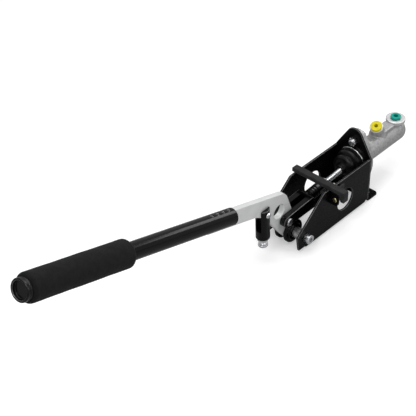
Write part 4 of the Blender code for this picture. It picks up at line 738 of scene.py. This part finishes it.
# %% [markdown]
# ## The limit bar and its hinge
#
# A small pressed channel stands on the right plate. A headed pin runs through it, and a rubber-skinned bar
# swings on the pin: lying across the bracket it limits the pull, and turned up it lets the lever go on. The
# bar is a soft L-shaped profile with well rounded edges, and its leaf wraps the pin.

# %% Channel, pin and bar
EAR_X, EAR_SPAN, EAR_T = 0.0465, 0.0205, 0.0025
EAR_LOW, EAR_HIGH = 0.048, 0.0668
PIN_Y, PIN_Z = -BRACKET_HALF - 0.0082, 0.0579
EAR_HOLE, LEAF_HOLE = 0.0056, 0.0058
face, out = -BRACKET_HALF - GAP, -BRACKET_HALF - 0.0137
ear = soft_path([(face, EAR_LOW), (out, EAR_LOW, 0.006), (out, EAR_HIGH, 0.006), (face, EAR_HIGH)], 10, True)
cheeks = []
for x in (EAR_X + EAR_T / 2, EAR_X + EAR_SPAN - EAR_T / 2):
    cheek = plate(ear, [round_hole(PIN_Y, PIN_Z, EAR_HOLE, 40)], EAR_T)
    cheeks.append(moved(cheek, shift(PIVOT.x + x) @ YZ))
web = [(0, EAR_LOW), (EAR_SPAN, EAR_LOW), (EAR_SPAN, EAR_HIGH), (0, EAR_HIGH)]
standing = Matrix(((1, 0, 0, PIVOT.x + EAR_X), (0, 0, 1, face - EAR_T / 2), (0, 1, 0, 0), (0, 0, 0, 1)))
cheeks.append(moved(plate(web, [], EAR_T), standing))
to_piece("ear_pressed", joined(*cheeks), Matrix(), powder_black, "bar_hinge_bracket")

along_pin = shift(PIVOT.x + EAR_X - GAP, PIN_Y, PIN_Z) @ QUARTER_Y
span, pin_r = EAR_SPAN + 2 * GAP, 0.0025
pin_head, pin_head_r = 0.0014, 0.0033
pin = [(0, -pin_head), (pin_head_r, -pin_head, 0.0009), (pin_head_r, 0, 0.0002), (pin_r, 0), (pin_r, span),
       (pin_head_r, span, 0.0002), (pin_head_r, span + pin_head, 0.0009), (0, span + pin_head)]
to_piece("ear_pin_turned", lathe(pin, 5), along_pin, yellow_zinc, "bar_pin")

BAR_X, BAR_T, BAR_WIDTH, BAR_LEG = 0.043, 0.006, 0.0095, 0.0095
LEAF_WIDTH, LEAF_OPEN = 0.0147, 34
low = SIDE_TOP + 2 * GAP
leg = low - BAR_LEG
left, right = BRACKET_HALF + 0.003, -BRACKET_HALF - 0.0245
beam = [(left, low, 0.001), (left, low + BAR_T, 0.001), (right, low + BAR_T, 0.002), (right, leg, 0.001),
        (right + BAR_T, leg, 0.001), (right + BAR_T, low, 0.001)]
bar_at = shift(PIVOT.x + BAR_X + BAR_WIDTH / 2) @ YZ
bar = moved(plate(soft_path(beam, 8, True), [], BAR_WIDTH, 0.0007), bar_at)
leaf_r, leaf_t = 0.0045, 0.00125
a = np.radians(np.linspace(180 - LEAF_OPEN, 360 + LEAF_OPEN, 40))
leaf = circle(PIN_Y, PIN_Z, leaf_r, a)
neck = [(PIN_Y + leaf_t, PIN_Z + 0.0055), (PIN_Y + leaf_t, low + 0.003)]
neck += [(PIN_Y - leaf_t, low + 0.003), (PIN_Y - leaf_t, PIN_Z + 0.0055)]
eye = plate(np.vstack([leaf, neck]), [round_hole(PIN_Y, PIN_Z, LEAF_HOLE, 40)], LEAF_WIDTH)
eye = moved(eye, shift(PIVOT.x + EAR_X + EAR_SPAN / 2) @ YZ)
to_piece("limit_bar_skin", joined(bar, eye), Matrix(), bar_rubber, "pull_limit_bar", "limit_bar", 40)

# %% [markdown]
# ## The lever plate
#
# The lever is a flat 8 mm plate with a round eye at the pivot, a wide knee with a lightening hole, and a
# shank that bends 43 degrees into the tube. The outline below follows the same lines as the real cut:
# straight sides that leave the eye at its tangent, a large inner curve and a tighter outer one at the bend.
# The edges are only broken, not rounded, so they catch a thin bright line.

# %% Lever plate
EYE, HALF_WIDTH = 0.0125, 0.020
BIG_HOLE_UP, BIG_HOLE = 0.0508, 0.021
CLEVIS_HOLE, CROSS_HOLE = 0.011, 0.0058
SHANK_TOP, SHANK_BOTTOM = 0.0105, 0.0122
TUBE_START, TUBE_R = 0.080, 0.0111
TUBE_IN = TUBE_R - 0.0016
TANG = math.sqrt((TUBE_IN - GAP) ** 2 - (LEVER_THICKNESS / 2) ** 2)
SLIT_END, TANG_LENGTH = 0.0455, 0.070
CROSS_SCREW_DOWN = 0.0072


def on_tube(x, z):
    """A point given beside and along the tube's line, turned by the bend into the plate's own x and z."""
    c, s = math.cos(BEND_ANGLE), math.sin(BEND_ANGLE)
    return np.array([x * c - z * s, BEND_UP + x * s + z * c])


def meeting(start, way, point, line):
    """Where a line from start meets a line through point, by the ratio of two cross products."""
    gap = point - start
    return start + way * (gap[0] * line[1] - gap[1] * line[0]) / (way[0] * line[1] - way[1] * line[0])


rise = (HALF_WIDTH - EYE) / BIG_HOLE_UP
lean = math.atan(rise)
a = np.linspace(math.pi + lean, 2 * math.pi - lean, 40)
eye = circle(0, 0, EYE, a)
shank_way = np.array([-math.sin(BEND_ANGLE), math.cos(BEND_ANGLE)])
outer_knee = meeting(eye[-1], np.array([rise, 1.0]), on_tube(SHANK_TOP, 0), shank_way)
inner_knee = meeting(eye[0], np.array([-rise, 1.0]), on_tube(-SHANK_BOTTOM, 0), shank_way)
mouth, into, tang_end = TUBE_START - GAP, TUBE_START + SLIT_END, TUBE_START + TANG_LENGTH
corners = [(*p, 0) for p in eye] + [(*outer_knee, 0.018)]
for x, z, radius in ((SHANK_TOP, mouth, 0.0006), (TANG, mouth, 0), (TANG, tang_end, 0.003),
                     (-TANG, tang_end, 0.003), (-TANG, into, 0), (-SHANK_BOTTOM, into, 0.001)):
    corners.append((*on_tube(x, z), radius))
corners.append((*inner_knee, 0.048))
clamp = ROD_IN_PLATE @ Vector((0, 0, CROSS_SCREW_DOWN))
holes = [round_hole(0, 0, 2 * BOLT_HOLE_R), round_hole(0, CLEVIS_ARM, CLEVIS_HOLE)]
holes += [round_hole(0, BIG_HOLE_UP, BIG_HOLE, 72), round_hole(clamp.x, clamp.z, CROSS_HOLE, 32)]
lever = plate(soft_path(corners, 16, True), holes, LEVER_THICKNESS, 0.00055, 3)
to_piece("lever_blank", lever, LEVER @ TO_RIGHT, blasted_steel, "lever_plate", "lever", 30)

# %% [markdown]
# ## The handle
#
# The tube is 22.2 mm, the usual handlebar size, and is slit underneath for the plate. Four set screws pin it
# from above. The tube is turned and then the slit and the holes are cut, which gives the same crisp edges as
# sawing and drilling it. The foam grip is pushed over its end and a cap closes it.

# %% Tube and set screws
TUBE_LENGTH, GRIP_LENGTH = 0.341, 0.155
SLIT, SLIT_WIDTH = 0.046, 0.009
FIRST_SCREW, SCREW_STEP, SCREW_R = 0.009, 0.0105, 0.0025
tube_at = at(TUBE, z=TUBE_START)
wall = [(TUBE_IN, 0, 0.0003), (TUBE_R, 0, 0.0004), (TUBE_R, TUBE_LENGTH, 0.0004),
        (TUBE_IN, TUBE_LENGTH, 0.0003)]
tube = to_piece("tube_drawn", lathe(wall, 3, 120, True), tube_at, gloss_black, "handle_tube", "lever")
cut(tube, block((2 * TUBE_R, SLIT_WIDTH, 2 * SLIT), (-TUBE_R - TANG / 2, 0, 0)), tube_at)
length = TUBE_R - 0.0004 - TANG - GAP
hole = lathe([(0, 0), (0.0028, 0), (0.0028, 0.0112), (0.0036, 0.0122), (0, 0.0122)])
screw = lathe([(0, 0), (SCREW_R, 0, 0.0003), (SCREW_R, length, 0.0005), (0.0016, length, 0.0002),
               (0.0014, length - 0.0016), (0, length - 0.0016)], 4, 36)
for i in range(4):
    z = TUBE_START + FIRST_SCREW + i * SCREW_STEP
    cut(tube, hole, at(TUBE, z=z) @ QUARTER_Y)
    seat = at(TUBE, TANG + GAP, 0, z) @ QUARTER_Y
    to_piece(f"set_screw_{i + 1}", screw, seat, screw_black, f"tube_set_screw_{i + 1}", "lever")

# %% [markdown]
# ### Grip and cap
#
# Foam is cut from a long hose, so its ends are soft and not quite flat, and the skin waves slightly. The
# profile has wide end arcs, and a sum of slow sines of the angle and the length moves the radius by a tenth
# of a millimetre or two. The cap is a moulded disc with a raised rim round a sunk face. The inner edge of
# the rim gets the lighter edge finish, a painted highlight for the thin grey line that it catches.

# %% Foam grip and end cap
GRIP_IN, GRIP_R = 0.0114, 0.0175
outer = soft_path([(GRIP_IN, 0, 0.0008), (GRIP_R, 0, 0.0046), (GRIP_R, GRIP_LENGTH, 0.0046),
                   (GRIP_IN, GRIP_LENGTH, 0.0008)], 8, True)
fine = []
for a, b in zip(outer, np.roll(outer, -1, axis=0)):
    count = max(1, int(np.linalg.norm(b - a) / 0.002))
    fine.append(a + (b - a) * np.linspace(0, 1, count, endpoint=False)[:, None])
points, faces = turned(np.vstack(fine), 96, True)
x, y, z = points.T
angle, away = np.arctan2(y, x), np.hypot(x, y)
wave = 0.00008 * np.sin(2 * angle + z * 90) + 0.00006 * np.sin(3 * angle - z * 210 + 1)
skin = np.clip((away - 0.0125) / 0.003, 0, 1)
points[:, :2] *= (1 + (wave - 0.00014) * skin / away)[:, None]
grip_at = at(TUBE, z=TUBE_START + TUBE_LENGTH - GRIP_LENGTH)
grip = to_piece("grip_foam_sleeve", (points, faces), grip_at, grip_foam, "foam_grip", "lever", 50)

cap_at = at(TUBE, z=TUBE_START + TUBE_LENGTH + GAP)
CAP_R, CAP_H, CAP_GROOVE = 0.01375, 0.0075, 0.0132
profile = [(0, 0.0035), (0.0104, 0.0035, 0.0008), (0.01095, 0.0068, 0.0006), (0.0117, CAP_H, 0.0006),
           (CAP_R, CAP_H, 0.0014), (CAP_R, 0.0042, 0.0003), (CAP_GROOVE, 0.0036, 0.0003),
           (CAP_GROOVE, 0.0030, 0.0003), (CAP_R, 0.0024, 0.0003), (CAP_R, 0, 0.0008), (0.0092, 0, 0.0003),
           (0.0092, -0.0155, 0.001), (0, -0.0155)]
cap = to_piece("end_cap_moulded", lathe(profile, 6, 120), cap_at, cap_black, "grip_end_cap", "lever")
# painted highlight: the faces of the rim's inner edge take the lighter edge grey
cap.data.materials.append(edge_highlight_black)
to_cap = cap_at.inverted()
for rim in cap.data.polygons:
    place = to_cap @ rim.center
    if 0.0109 < math.hypot(place.x, place.y) < 0.0114 and place.z > 0.0066:
        rim.material_index = 1

# %% [markdown]
# ## The slotted stop rod
#
# A black rod straddles the plate's hollow side and is clamped by a cross screw. A silver screw in its lower
# end, locked by a thin nut, sets where the released lever rests. The rod is turned, then slit.

# %% Rod, cross screw and stop screw
STOP_R, STOP_LENGTH = 0.00925, 0.048
STOP_BORE, BORE_DEPTH = 0.0043, 0.036
shape = [(0, 0), (STOP_R, 0, 0.001), (STOP_R, STOP_LENGTH, 0.001), (STOP_BORE, STOP_LENGTH, 0.0003),
         (STOP_BORE, BORE_DEPTH), (0, BORE_DEPTH)]
rod = to_piece("stop_rod_turned", lathe(shape, 5, 80), STOP_ROD, gloss_black, "stop_rod", "lever")
# painted highlight: lighter grey on the rounded ends of the stop rod
paint_edge_highlights(rod, STOP_ROD.to_3x3() @ Vector((0, 0, 1)))
cut(rod, block((0.04, 0.0086, 0.068), (0, 0, 0)), STOP_ROD)
cross = turned([(0, -0.02), (0.0028, -0.02), (0.0028, 0.02), (0, 0.02)], 40)
cut(rod, cross, at(STOP_ROD, z=CROSS_SCREW_DOWN) @ TO_LEFT)

a = np.linspace(math.pi / 2, 0, 10)
dome = np.stack([BOLT_R * np.cos(a), 0.0026 * np.sin(a)], axis=1)
dome = np.vstack([[(0, 0.0014), (0.0012, 0.0014), (0.0013, 0.00245)], dome[4:]])
dome[-1, 1] = 0.0003
screw = np.vstack([dome, [(BOLT_R, 0), (0.0025, 0), (0.0025, -0.0238), (0.0021, -0.0243), (0, -0.0243)]])
seat = at(STOP_ROD, 0, -STOP_R - GAP, CROSS_SCREW_DOWN) @ TO_RIGHT
to_piece("cross_screw_turned", turned(screw, 48), seat, zinc, "stop_rod_screw", "lever")
behind = at(STOP_ROD, 0, STOP_R + GAP, CROSS_SCREW_DOWN) @ TO_LEFT
to_piece("cross_nut", hexagonal(0.008, 0.004, 0.0056), behind, zinc, "stop_rod_nut", "lever")

end_at = at(STOP_ROD, z=STOP_LENGTH)
foot = lathe([(0, 0.0108), (0.0065, 0.0108, 0.0005), (0.0065, 0.014, 0.0006), (0, 0.014)], 4, 64)
shank = threaded(-0.0115, 0.0112)
to_piece("stop_screw_turned", joined(foot, shank), end_at, zinc, "stop_screw", "lever", 40)
nut = hexagonal(NUT_ACROSS, 0.005, NUT_BORE, 0.0008)
to_piece("stop_nut", nut, at(end_at, z=GAP), zinc, "stop_screw_nut", "lever")

# %% [markdown]
# ## The fork and push rod
#
# The fork is a black block with a slot for the plate, a cross pin, and a grooved round neck that is tapped
# for the push rod. A jam nut locks the two. The rod's thread shows, so it is a real helix like the stop
# screw's: the radius is a cosine of the height less the angle, the same curve that a die cuts. Plain rings
# are enough for the pivot bolt, whose thread is nearly hidden.

# %% Fork
SLOT, BRIDGE = 0.054, 0.006
FORK_WIDTH, SLOT_WIDTH = 0.025, 0.009
nose, half = -ROD_SPAN - 0.009, 0.008
block_end = nose + SLOT + BRIDGE
side = soft_path([(nose, -half, 0.0077), (block_end, -half, 0.003), (block_end, half, 0.003),
                  (nose, half, 0.0077)], 12, True)
milled = plate(side, [round_hole(-ROD_SPAN, 0, 0.0086)], FORK_WIDTH, 0.0009)
fork = to_piece("fork_milled", milled, ROD @ TO_RIGHT, gloss_black, "clevis_fork", "rod_set")
# painted highlight: lighter grey on the rounded edges of the fork
paint_edge_highlights(fork, Vector((0, 1, 0)))
cut(fork, block((2 * SLOT, SLOT_WIDTH, 0.04), (nose, 0, 0)), ROD)
NECK_R, NECK_LENGTH, LAND = 0.00775, 0.032, 0.0022
groove_r = NECK_R - 0.0014
neck = [(0, NECK_LENGTH), (NECK_R, NECK_LENGTH, 0.0008)]
for i in reversed(range(4)):
    base = LAND * (1 + 2 * i)
    neck += [(NECK_R, base + LAND, 0.0004), (groove_r, base + 0.0019, 0.0003),
             (groove_r, base + 0.0003, 0.0003), (NECK_R, base, 0.0004)]
neck += [(NECK_R, -0.003), (0, -0.003)]
neck_at = at(ROD, block_end) @ QUARTER_Y
cut(fork, lathe(neck, 3, 72), neck_at, "UNION")

# %% Pin, clip, jam nut and push rod
pin_at = at(ROD, -ROD_SPAN, -0.0128) @ TO_LEFT
pin_head, pin_head_r = 0.0022, 0.00525
pin_end, clip_seat_r = 0.0296, 0.0031
pin = [(0, -pin_head), (pin_head_r, -pin_head, 0.0006), (pin_head_r, 0, 0.0002), (BOLT_R, 0),
       (BOLT_R, 0.0261), (clip_seat_r, 0.0261), (clip_seat_r, 0.0276), (BOLT_R, 0.0276),
       (BOLT_R, pin_end, 0.0006), (0, pin_end)]
to_piece("fork_pin_turned", lathe(pin, 4, 56), pin_at, zinc, "clevis_pin", "rod_set")
a = np.radians(np.linspace(35, 325, 48))
clip = plate(np.vstack([circle(0, 0, 0.0059, a), circle(0, 0, 0.0034, a)[::-1]]), [], 0.0009, 0.0002, 2)
to_piece("fork_clip", clip, at(pin_at, z=0.02685), spring_steel, "clevis_clip", "rod_set")
nut_at = at(neck_at, z=NECK_LENGTH + GAP)
nut = hexagonal(NUT_ACROSS, 0.0062, NUT_BORE, 0.0009)
to_piece("jam_nut_turned", nut, nut_at, zinc, "jam_nut", "rod_set")

ball = [(0, -0.032), (0.0036, -0.032, 0.0003), (0.0036, -0.0045), (0.0052, -0.0012, 0.0012),
        (0.0050, 0.0020, 0.002), (0.0030, 0.0046, 0.001), (0, 0.0052)]
thread = threaded(block_end + NECK_LENGTH - 0.0172, -0.0315, 0.00055)
rod_cut = joined(lathe(ball), thread)
to_piece("push_rod_cut", rod_cut, ROD @ QUARTER_Y, zinc, "push_rod", "rod_set", 45)

# %% [markdown]
# ## The boot
#
# The boot is a stepped cone of rubber: a nose that grips the rod, a rolled ring, a waist, and a wide mouth
# under a wire ring. It is one profile carried round the cylinder's axis, but each ring of it is slid sideways
# so that the nose stays on the rod, which runs a few degrees uphill. The wall is a second skin inside it.
# On the real brake the boot folds up along the axis by the piston's stroke when the lever is pulled, so its
# nose travels with the rod; here it is made at rest. The rod also loses a degree or two of its slope, for
# which the nose has a little slack at rest.

# %% Boot and clamp ring
NOSE_X, MOUTH = 0.1035, REAR - GAP
BOOT_LENGTH = MOUTH - NOSE_X
NOSE_SLACK = 0.0006
FOLLOW_END, FOLLOW_SPAN = 0.65, 0.40
BOOT_R, BOOT_IN = 0.0196, 0.0181
skin = [(0.0050, 0, 0.0004), (0.0072, 0, 0.0008), (0.0072, 0.0049, 0.001), (0.0098, 0.0064, 0.001),
        (0.0150, 0.0070, 0.0016), (0.0168, 0.0088, 0.0014), (0.0168, 0.0118, 0.0016),
        (0.0136, 0.0140, 0.0014), (0.0136, 0.0152, 0.0012), (0.0182, 0.0172, 0.002),
        (BOOT_R, 0.0196, 0.0016), (BOOT_R, BOOT_LENGTH, 0.0004), (BOOT_IN, BOOT_LENGTH, 0.0002),
        (BOOT_IN, 0.0202, 0.001), (0.0122, 0.0160, 0.001),
        (0.0122, 0.0136, 0.001), (0.0152, 0.0110, 0.001), (0.0152, 0.0090, 0.001), (0.0084, 0.0080, 0.001),
        (0.0057, 0.0062, 0.001), (0.0050, 0.0046, 0.0004)]
points, faces = lathe(skin, 6, 96, True)
height = points[:, 2]
follow = np.clip((FOLLOW_END - height / BOOT_LENGTH) / FOLLOW_SPAN, 0, 1)
points[:, 0] += (math.tan(ROD_RISE) * (PISTON_SEAT_X - NOSE_X - height) - NOSE_SLACK) * follow
boot = to_piece("boot_moulded", (points, faces), on_axis(NOSE_X), boot_rubber, "dust_boot", sharp=50)
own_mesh(boot)
RING_IN, RING_OUT = 0.0199, 0.0212
RING_WIDTH, RING_ROUND = 0.003, 0.0006
ring = [(RING_IN, 0, RING_ROUND), (RING_OUT, 0, RING_ROUND), (RING_OUT, RING_WIDTH, RING_ROUND),
        (RING_IN, RING_WIDTH, RING_ROUND)]
ring_at = on_axis(MOUTH - RING_WIDTH)
to_piece("boot_wire", lathe(ring, 5, 120, True), ring_at, zinc, "boot_clamp_ring", sharp=40)

# %% [markdown]
# ## The master cylinder
#
# The body is one casting: a barrel with a rounded end, a diamond flange, a riser for the reservoir, a boss
# for the brake line that leans forward, and a web between them. On a casting every inner corner is a
# fillet. The shapes are set through each other as separate shells, turned into one skin by a voxel remesh,
# and smoothed a little, which runs a fillet along each meeting line. Boolean unions would leave knife-sharp
# corners, and bevels on such crossings break. The bore and ports are cut afterwards, so they stay crisp.

# %% Cast body
SEAT_X = REAR + SHEET + GAP
FRONT_X = SEAT_X - 0.0062
FLANGE_T = 0.0085
OUTLET_X = 0.1935
BARREL = 0.015
BORE_R, PORT_R = 0.0089, 0.005
RISER = shift(PIVOT.x + RISER_X)
lean, turn = math.radians(24), math.radians(6)
way = Vector((-math.sin(lean) * math.cos(turn), -math.sin(turn), math.cos(lean))).normalized()
OUTLET = shift(PIVOT.x + OUTLET_X, 0.003, CYLINDER_Z) @ way.to_track_quat("Z", "Y").to_matrix().to_4x4()

a = np.linspace(math.pi / 2, 0, 16)
length = RISER_X - SEAT_X
end = circle(0, length, BARREL, a)
barrel = moved(turned(np.vstack([end, [(BARREL, 0.001), (0, 0.001)]]), 96), on_axis(SEAT_X))

ear, spread_angle, broad_half = 0.013, math.radians(34), 0.0255
high = FLANGE_BOLT_OUT + ear / math.sin(spread_angle)
wide = high * math.tan(spread_angle)
broad = (wide - broad_half) / (1 / math.cos(spread_angle) - 1)
diamond = soft_path([(0, high, ear), (wide, 0, broad), (0, -high, ear), (-wide, 0, broad)], 24, True)
bolt_holes = [round_hole(0, side * FLANGE_BOLT_OUT, 0.0087) for side in (1, -1)]
flange_at = shift(PIVOT.x + SEAT_X + FLANGE_T / 2, 0, CYLINDER_Z) @ YZ
flange = moved(plate(diamond, bolt_holes, FLANGE_T, 0.0008), flange_at)

RISER_R, RISER_TOP = 0.009, 0.0707
BOSS_R, BOSS_TOP, BOSS_FOOT_R = 0.0094, 0.0306, 0.0122
riser = [(0, RISER_TOP), (RISER_R, RISER_TOP), (RISER_R, 0.0672, 0.001), (0.0106, 0.0665, 0.001),
         (0.013, 0.0645, 0.002), (0.013, CYLINDER_Z), (0, CYLINDER_Z)]
boss = [(0, BOSS_TOP), (BOSS_R, BOSS_TOP, 0.0004), (BOSS_R, 0.019, 0.002), (BOSS_FOOT_R, 0.0135),
        (BOSS_FOOT_R, 0.006), (0, 0.006)]
WEB_LOW, WEB_TOP = CYLINDER_Z + BARREL * 0.5, 0.0735
web = soft_path([(0.191, WEB_LOW), (RISER_X, WEB_LOW), (RISER_X - 0.0018, 0.0697, 0.002),
                 (RISER_X - 0.0144, WEB_TOP, 0.003), (0.187, WEB_TOP, 0.004)], 6, True)
shells = joined(barrel, flange, moved(lathe(riser, 6, 72), RISER), moved(lathe(boss, 5, 72), OUTLET),
                moved(plate(web, [], 0.0165, 0.001), shift(PIVOT.x) @ TO_RIGHT))
body = to_piece("cylinder_casting", shells, Matrix(), cast_aluminium, "master_cylinder_body")
remesh = body.modifiers.new("one_skin", "REMESH")
remesh.mode = "VOXEL"
remesh.voxel_size = 0.0006
remesh.use_smooth_shade = True
smooth = body.modifiers.new("fillets", "SMOOTH")
smooth.factor = 0.5
smooth.iterations = 5
bake(body)
print("casting skin:", len(body.data.polygons), "faces")

# %% Bore, ports and machined faces
bore = turned([(0, -0.004), (BORE_R, -0.004), (BORE_R, 0.0927), (0.0079, 0.0937), (0, 0.0937)], 64)
cut(body, bore, on_axis(SEAT_X))
port = turned([(0, 0), (PORT_R, 0), (PORT_R, 0.02), (0, 0.02)], 48)
cut(body, port, at(RISER, z=0.0655))
cut(body, port, at(OUTLET, z=0.0195))

disc = [(PORT_R, 0.0704, 0.0002), (0.0134, 0.0704, 0.0012), (0.0134, 0.0755, 0.0009),
        (0.0078, 0.0755, 0.0002), (0.0074, 0.0752, 0.0002), (PORT_R, 0.0752, 0.0003)]
to_piece("riser_seat_turned", lathe(disc, 5, 96, True), RISER, riser_face)
outlet_face = ringed_finish("outlet_face", grey(0.56), grey(0.72), tuple(OUTLET.translation), tuple(way))
rim = [(PORT_R, 0.0300, 0.0002), (0.0091, 0.0300, 0.0003), (0.0091, 0.0315, 0.0006), (PORT_R, 0.0315, 0.0003)]
to_piece("outlet_seat_turned", lathe(rim, 4, 72, True), OUTLET, outlet_face)
SPIGOT_R, SPIGOT = 0.01425, 0.0068
spigot = [(BORE_R, 0, 0.0006), (SPIGOT_R, 0, 0.0008), (SPIGOT_R, SPIGOT), (BORE_R, SPIGOT)]
to_piece("spigot_turned", lathe(spigot, 4, 96, True), on_axis(FRONT_X), cut_steel)

# %% [markdown]
# ### Port plugs and flange bolts
#
# Both ports are closed for storage by hollow plastic plugs: a hexagonal green one on the riser and a round
# yellow one on the brake-line boss. The casting is held by two washer-faced bolts with nuts inside the
# bracket.

# %% Plugs and bolts
PLUG_R, PLUG_END = 0.0047, -0.009
stem = lathe([(0, PLUG_END), (PLUG_R, PLUG_END, 0.0006), (PLUG_R, 0.0004), (0.0034, 0.0004),
              (0.0034, -0.007, 0.0003), (0, -0.007)])
head = hexagonal(0.0135, 0.0028, 0.0068, 0.0005, steps=96)
to_piece("green_plug", joined(stem, head), at(RISER, z=0.0758), green_plastic, "reservoir_plug")
button = lathe([(0, PLUG_END), (PLUG_R, PLUG_END, 0.0006), (PLUG_R, 0), (0.008, 0, 0.0005),
                (0.008, 0.0026, 0.0008), (0.0027, 0.0026, 0.0006), (0.0024, 0.0014, 0.0003), (0.0024, -0.007),
                (0, -0.007)], 5, 72)
to_piece("yellow_plug", button, at(OUTLET, z=0.0318), yellow_plastic, "outlet_plug")

washer = lathe([(0, 0), (WASHER_R, 0, 0.0003), (WASHER_R, 0.0014, 0.0005), (0, 0.0014)], 4, 72)
head = moved(hexagonal(0.0125, 0.0053, 0, 0.0009, 0.0005), shift(z=0.0012))
bolt = joined(washer, head, threaded(0.0005, -0.0192))
nut = hexagonal(0.011, 0.0055, NUT_BORE, 0.0008)
for word, side in (("upper", -1), ("lower", 1)):
    line = at(on_axis(0), side * FLANGE_BOLT_OUT)
    bolt_at = at(line, z=SEAT_X + FLANGE_T + GAP)
    to_piece(word + "_bolt_turned", bolt, bolt_at, zinc, word + "_flange_bolt", sharp=40)
    to_piece(word + "_nut_turned", nut, at(line, z=REAR - 0.0058), zinc, word + "_flange_nut")

# %% [markdown]
# ## The inner pieces
#
# The piston, its cups, the stop washer and the circlip lie inside the bore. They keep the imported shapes,
# which are right, and only get the finish of the real metal and rubber. The return spring has to shorten when
# the piston comes in, so it is drawn anew: a round wire along a helix whose end coils lie flat.

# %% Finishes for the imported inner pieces
packed = {"piston": cut_steel, "primary_cup": boot_rubber, "secondary_cup": boot_rubber, "stop_washer": zinc,
          "circlip": spring_steel}
for word, chosen in packed.items():
    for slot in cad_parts[word].material_slots:
        slot.material = chosen
print("inner pieces finished:", len(packed))

# %% Return spring
def coil(start, end, radius, wire, turns, sides=12, per_turn=32):
    """Angle = 2 pi turns t, and z = start + (end - start) e(t), which eases from flat end coils to an even
    pitch. The wire is a circle round that line: out = radius + wire cos b and up = z + wire sin b."""
    t = np.linspace(0, 1, turns * per_turn + 1)
    flat = 2.2 * wire / (end - start)
    ends = flat * np.minimum(t * turns, 1) + flat * (1 - np.minimum((1 - t) * turns, 1))
    middle = np.clip((t * turns - 1) / (turns - 2), 0, 1) * (1 - 2 * flat)
    height = (start + (end - start) * (ends + middle))[:, None]
    angle = 2 * math.pi * turns * t[:, None]
    b = around(sides).T
    points = swept(radius + wire * np.cos(b), angle, height + wire * np.sin(b))
    last = (len(t) - 1) * sides
    caps = [list(range(sides - 1, -1, -1)), list(range(last, last + sides))]
    return points, grid_faces(len(t), sides, wrap_columns=True).tolist() + caps


SPRING_FRONT, SPRING_REAR, WIRE = 0.1746, 0.2287, 0.0007
wound = coil(SPRING_FRONT + WIRE, SPRING_REAR - WIRE, 0.0064, WIRE, 9)
spring = to_piece("spring_coiled", wound, on_axis(0), spring_steel, "return_spring", sharp=50)
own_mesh(spring)
print("spring wire:", len(spring.data.vertices), "points")

# %% [markdown]
# ## Floor, light and camera
#
# A pale floor and an even white surround suit a black and silver object: it shows itself by what it mirrors.
# A broad lamp overhead and a key from the left give the soft light. Two narrow lamps stand behind, one where
# the edges along the bracket mirror it to the camera and one for the long line on the tube. Their sum is held
# near a level at which a colour renders as written, and the white of the background comes from the floor's
# colour and the Is Camera Ray switch, not from more light.

# %% Floor and surround
WHITE = (1, 1, 1, 1)
FLOOR_HALF, FLOOR_Z = 4, -0.0004


def floor_finish():
    """A white diffuse floor. Only the camera sees its emission, which grows away from the origin."""
    made, mix = shader("floor_white")
    away = mix.add("VectorMath", "LENGTH", mix.place(), output="Value")
    glow = mix.add("Math", "MULTIPLY", mix.ray("Is Camera Ray"), mix.spread(away, 0.36, 0.8, 0.9, 2.1))
    mix.fill(mix.base, {
        "Base Color": mix.tint(mix.ray("Is Glossy Ray"), grey(0.74), grey(0.4), 0.0, 1.0), "Roughness": 0.9,
        "Specular IOR Level": 0.0, "Emission Color": WHITE, "Emission Strength": glow,
    })
    return made


quad = [(x * FLOOR_HALF, y * FLOOR_HALF, FLOOR_Z) for x, y in ((-1, -1), (1, -1), (1, 1), (-1, 1))]
floor = placed("floor", to_mesh("floor", quad, [(0, 1, 2, 3)]))
floor.data.materials.append(floor_finish())
floor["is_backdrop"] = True

world = bpy.data.worlds.new("surround")
bpy.context.scene.world = world
world.use_nodes = True
mix = Mix(world.node_tree, "Background")
mirrored = mix.spread(mix.ray("Is Glossy Ray"), 0.34, 0.55, 0.0, 1.0)
level = mix.add("Math", "MAXIMUM", mix.ray("Is Camera Ray"), mirrored)
mix.fill(mix.base, {"Color": WHITE, "Strength": level})


def lamp(name, place, width, power, height=None, target=(-0.1, 0, 0.06)):
    """A square or oblong area lamp that faces the object."""
    light = bpy.data.lights.new(name, "AREA")
    light.shape = "RECTANGLE"
    light.size, light.size_y = width, height or width
    light.energy = power
    made = placed(name, light)
    made.location = place
    made.rotation_euler = (Vector(target) - Vector(place)).to_track_quat("-Z", "Y").to_euler()


lamp("overhead", (-0.4, 0.2, 1.8), 1.6, 15)
lamp("key", (-1.3, -0.3, 1.2), 0.5, 6)
lamp("right_fill", (0.3, -1.3, 0.9), 0.7, 5)
lamp("edge_line", (1.06, 0.1, 1.66), 1.3, 9, 0.3)
lamp("tube_line", (1.6, -0.15, 1.0), 0.9, 3.5, 0.3)
print("lamps:", len(bpy.data.lights))

# %% [markdown]
# ### The camera
#
# The camera looks down from the front left with a long lens, which keeps the lever's lines nearly parallel.
# Its direction is fixed and its place is found: each round moves the eye sideways until the pieces are
# centred, and in or out until they fill the width. By hand this would have to be done after every change.

# %% Camera
LENS, SENSOR, FILL = 125, 36, 0.95
elevation, azimuth = math.radians(38.6), math.radians(-48)
flat_part = math.cos(elevation)
look = Vector((-math.sin(azimuth) * flat_part, math.cos(azimuth) * flat_part, -math.sin(elevation)))
sideways = look.cross(Vector((0, 0, 1))).normalized()
ahead, right, up = np.array(look), np.array(sideways), np.array(sideways.cross(look))
cloud = np.vstack([positions(piece.data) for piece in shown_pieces()])
eye = ahead * -1.7
for _ in range(30):
    gap = cloud - eye
    depth = gap @ ahead
    x, y, far = gap @ right / depth, gap @ up / depth, depth.mean()
    eye += right * (x.max() + x.min()) / 2 * far + up * (y.max() + y.min()) / 2 * far
    eye += ahead * far * (1 - (x.max() - x.min()) * LENS / SENSOR / FILL) * 0.7
lens = bpy.data.cameras.new("studio_camera")
lens.lens = LENS
lens.sensor_width = SENSOR
lens.clip_end = 20
camera = placed("studio_camera", lens)
camera.location = eye
camera.rotation_euler = look.to_track_quat("-Z", "Y").to_euler()
bpy.context.scene.camera = camera
bpy.context.scene.view_settings.view_transform = "Standard"
print("camera distance:", round(float(far), 3), "m")
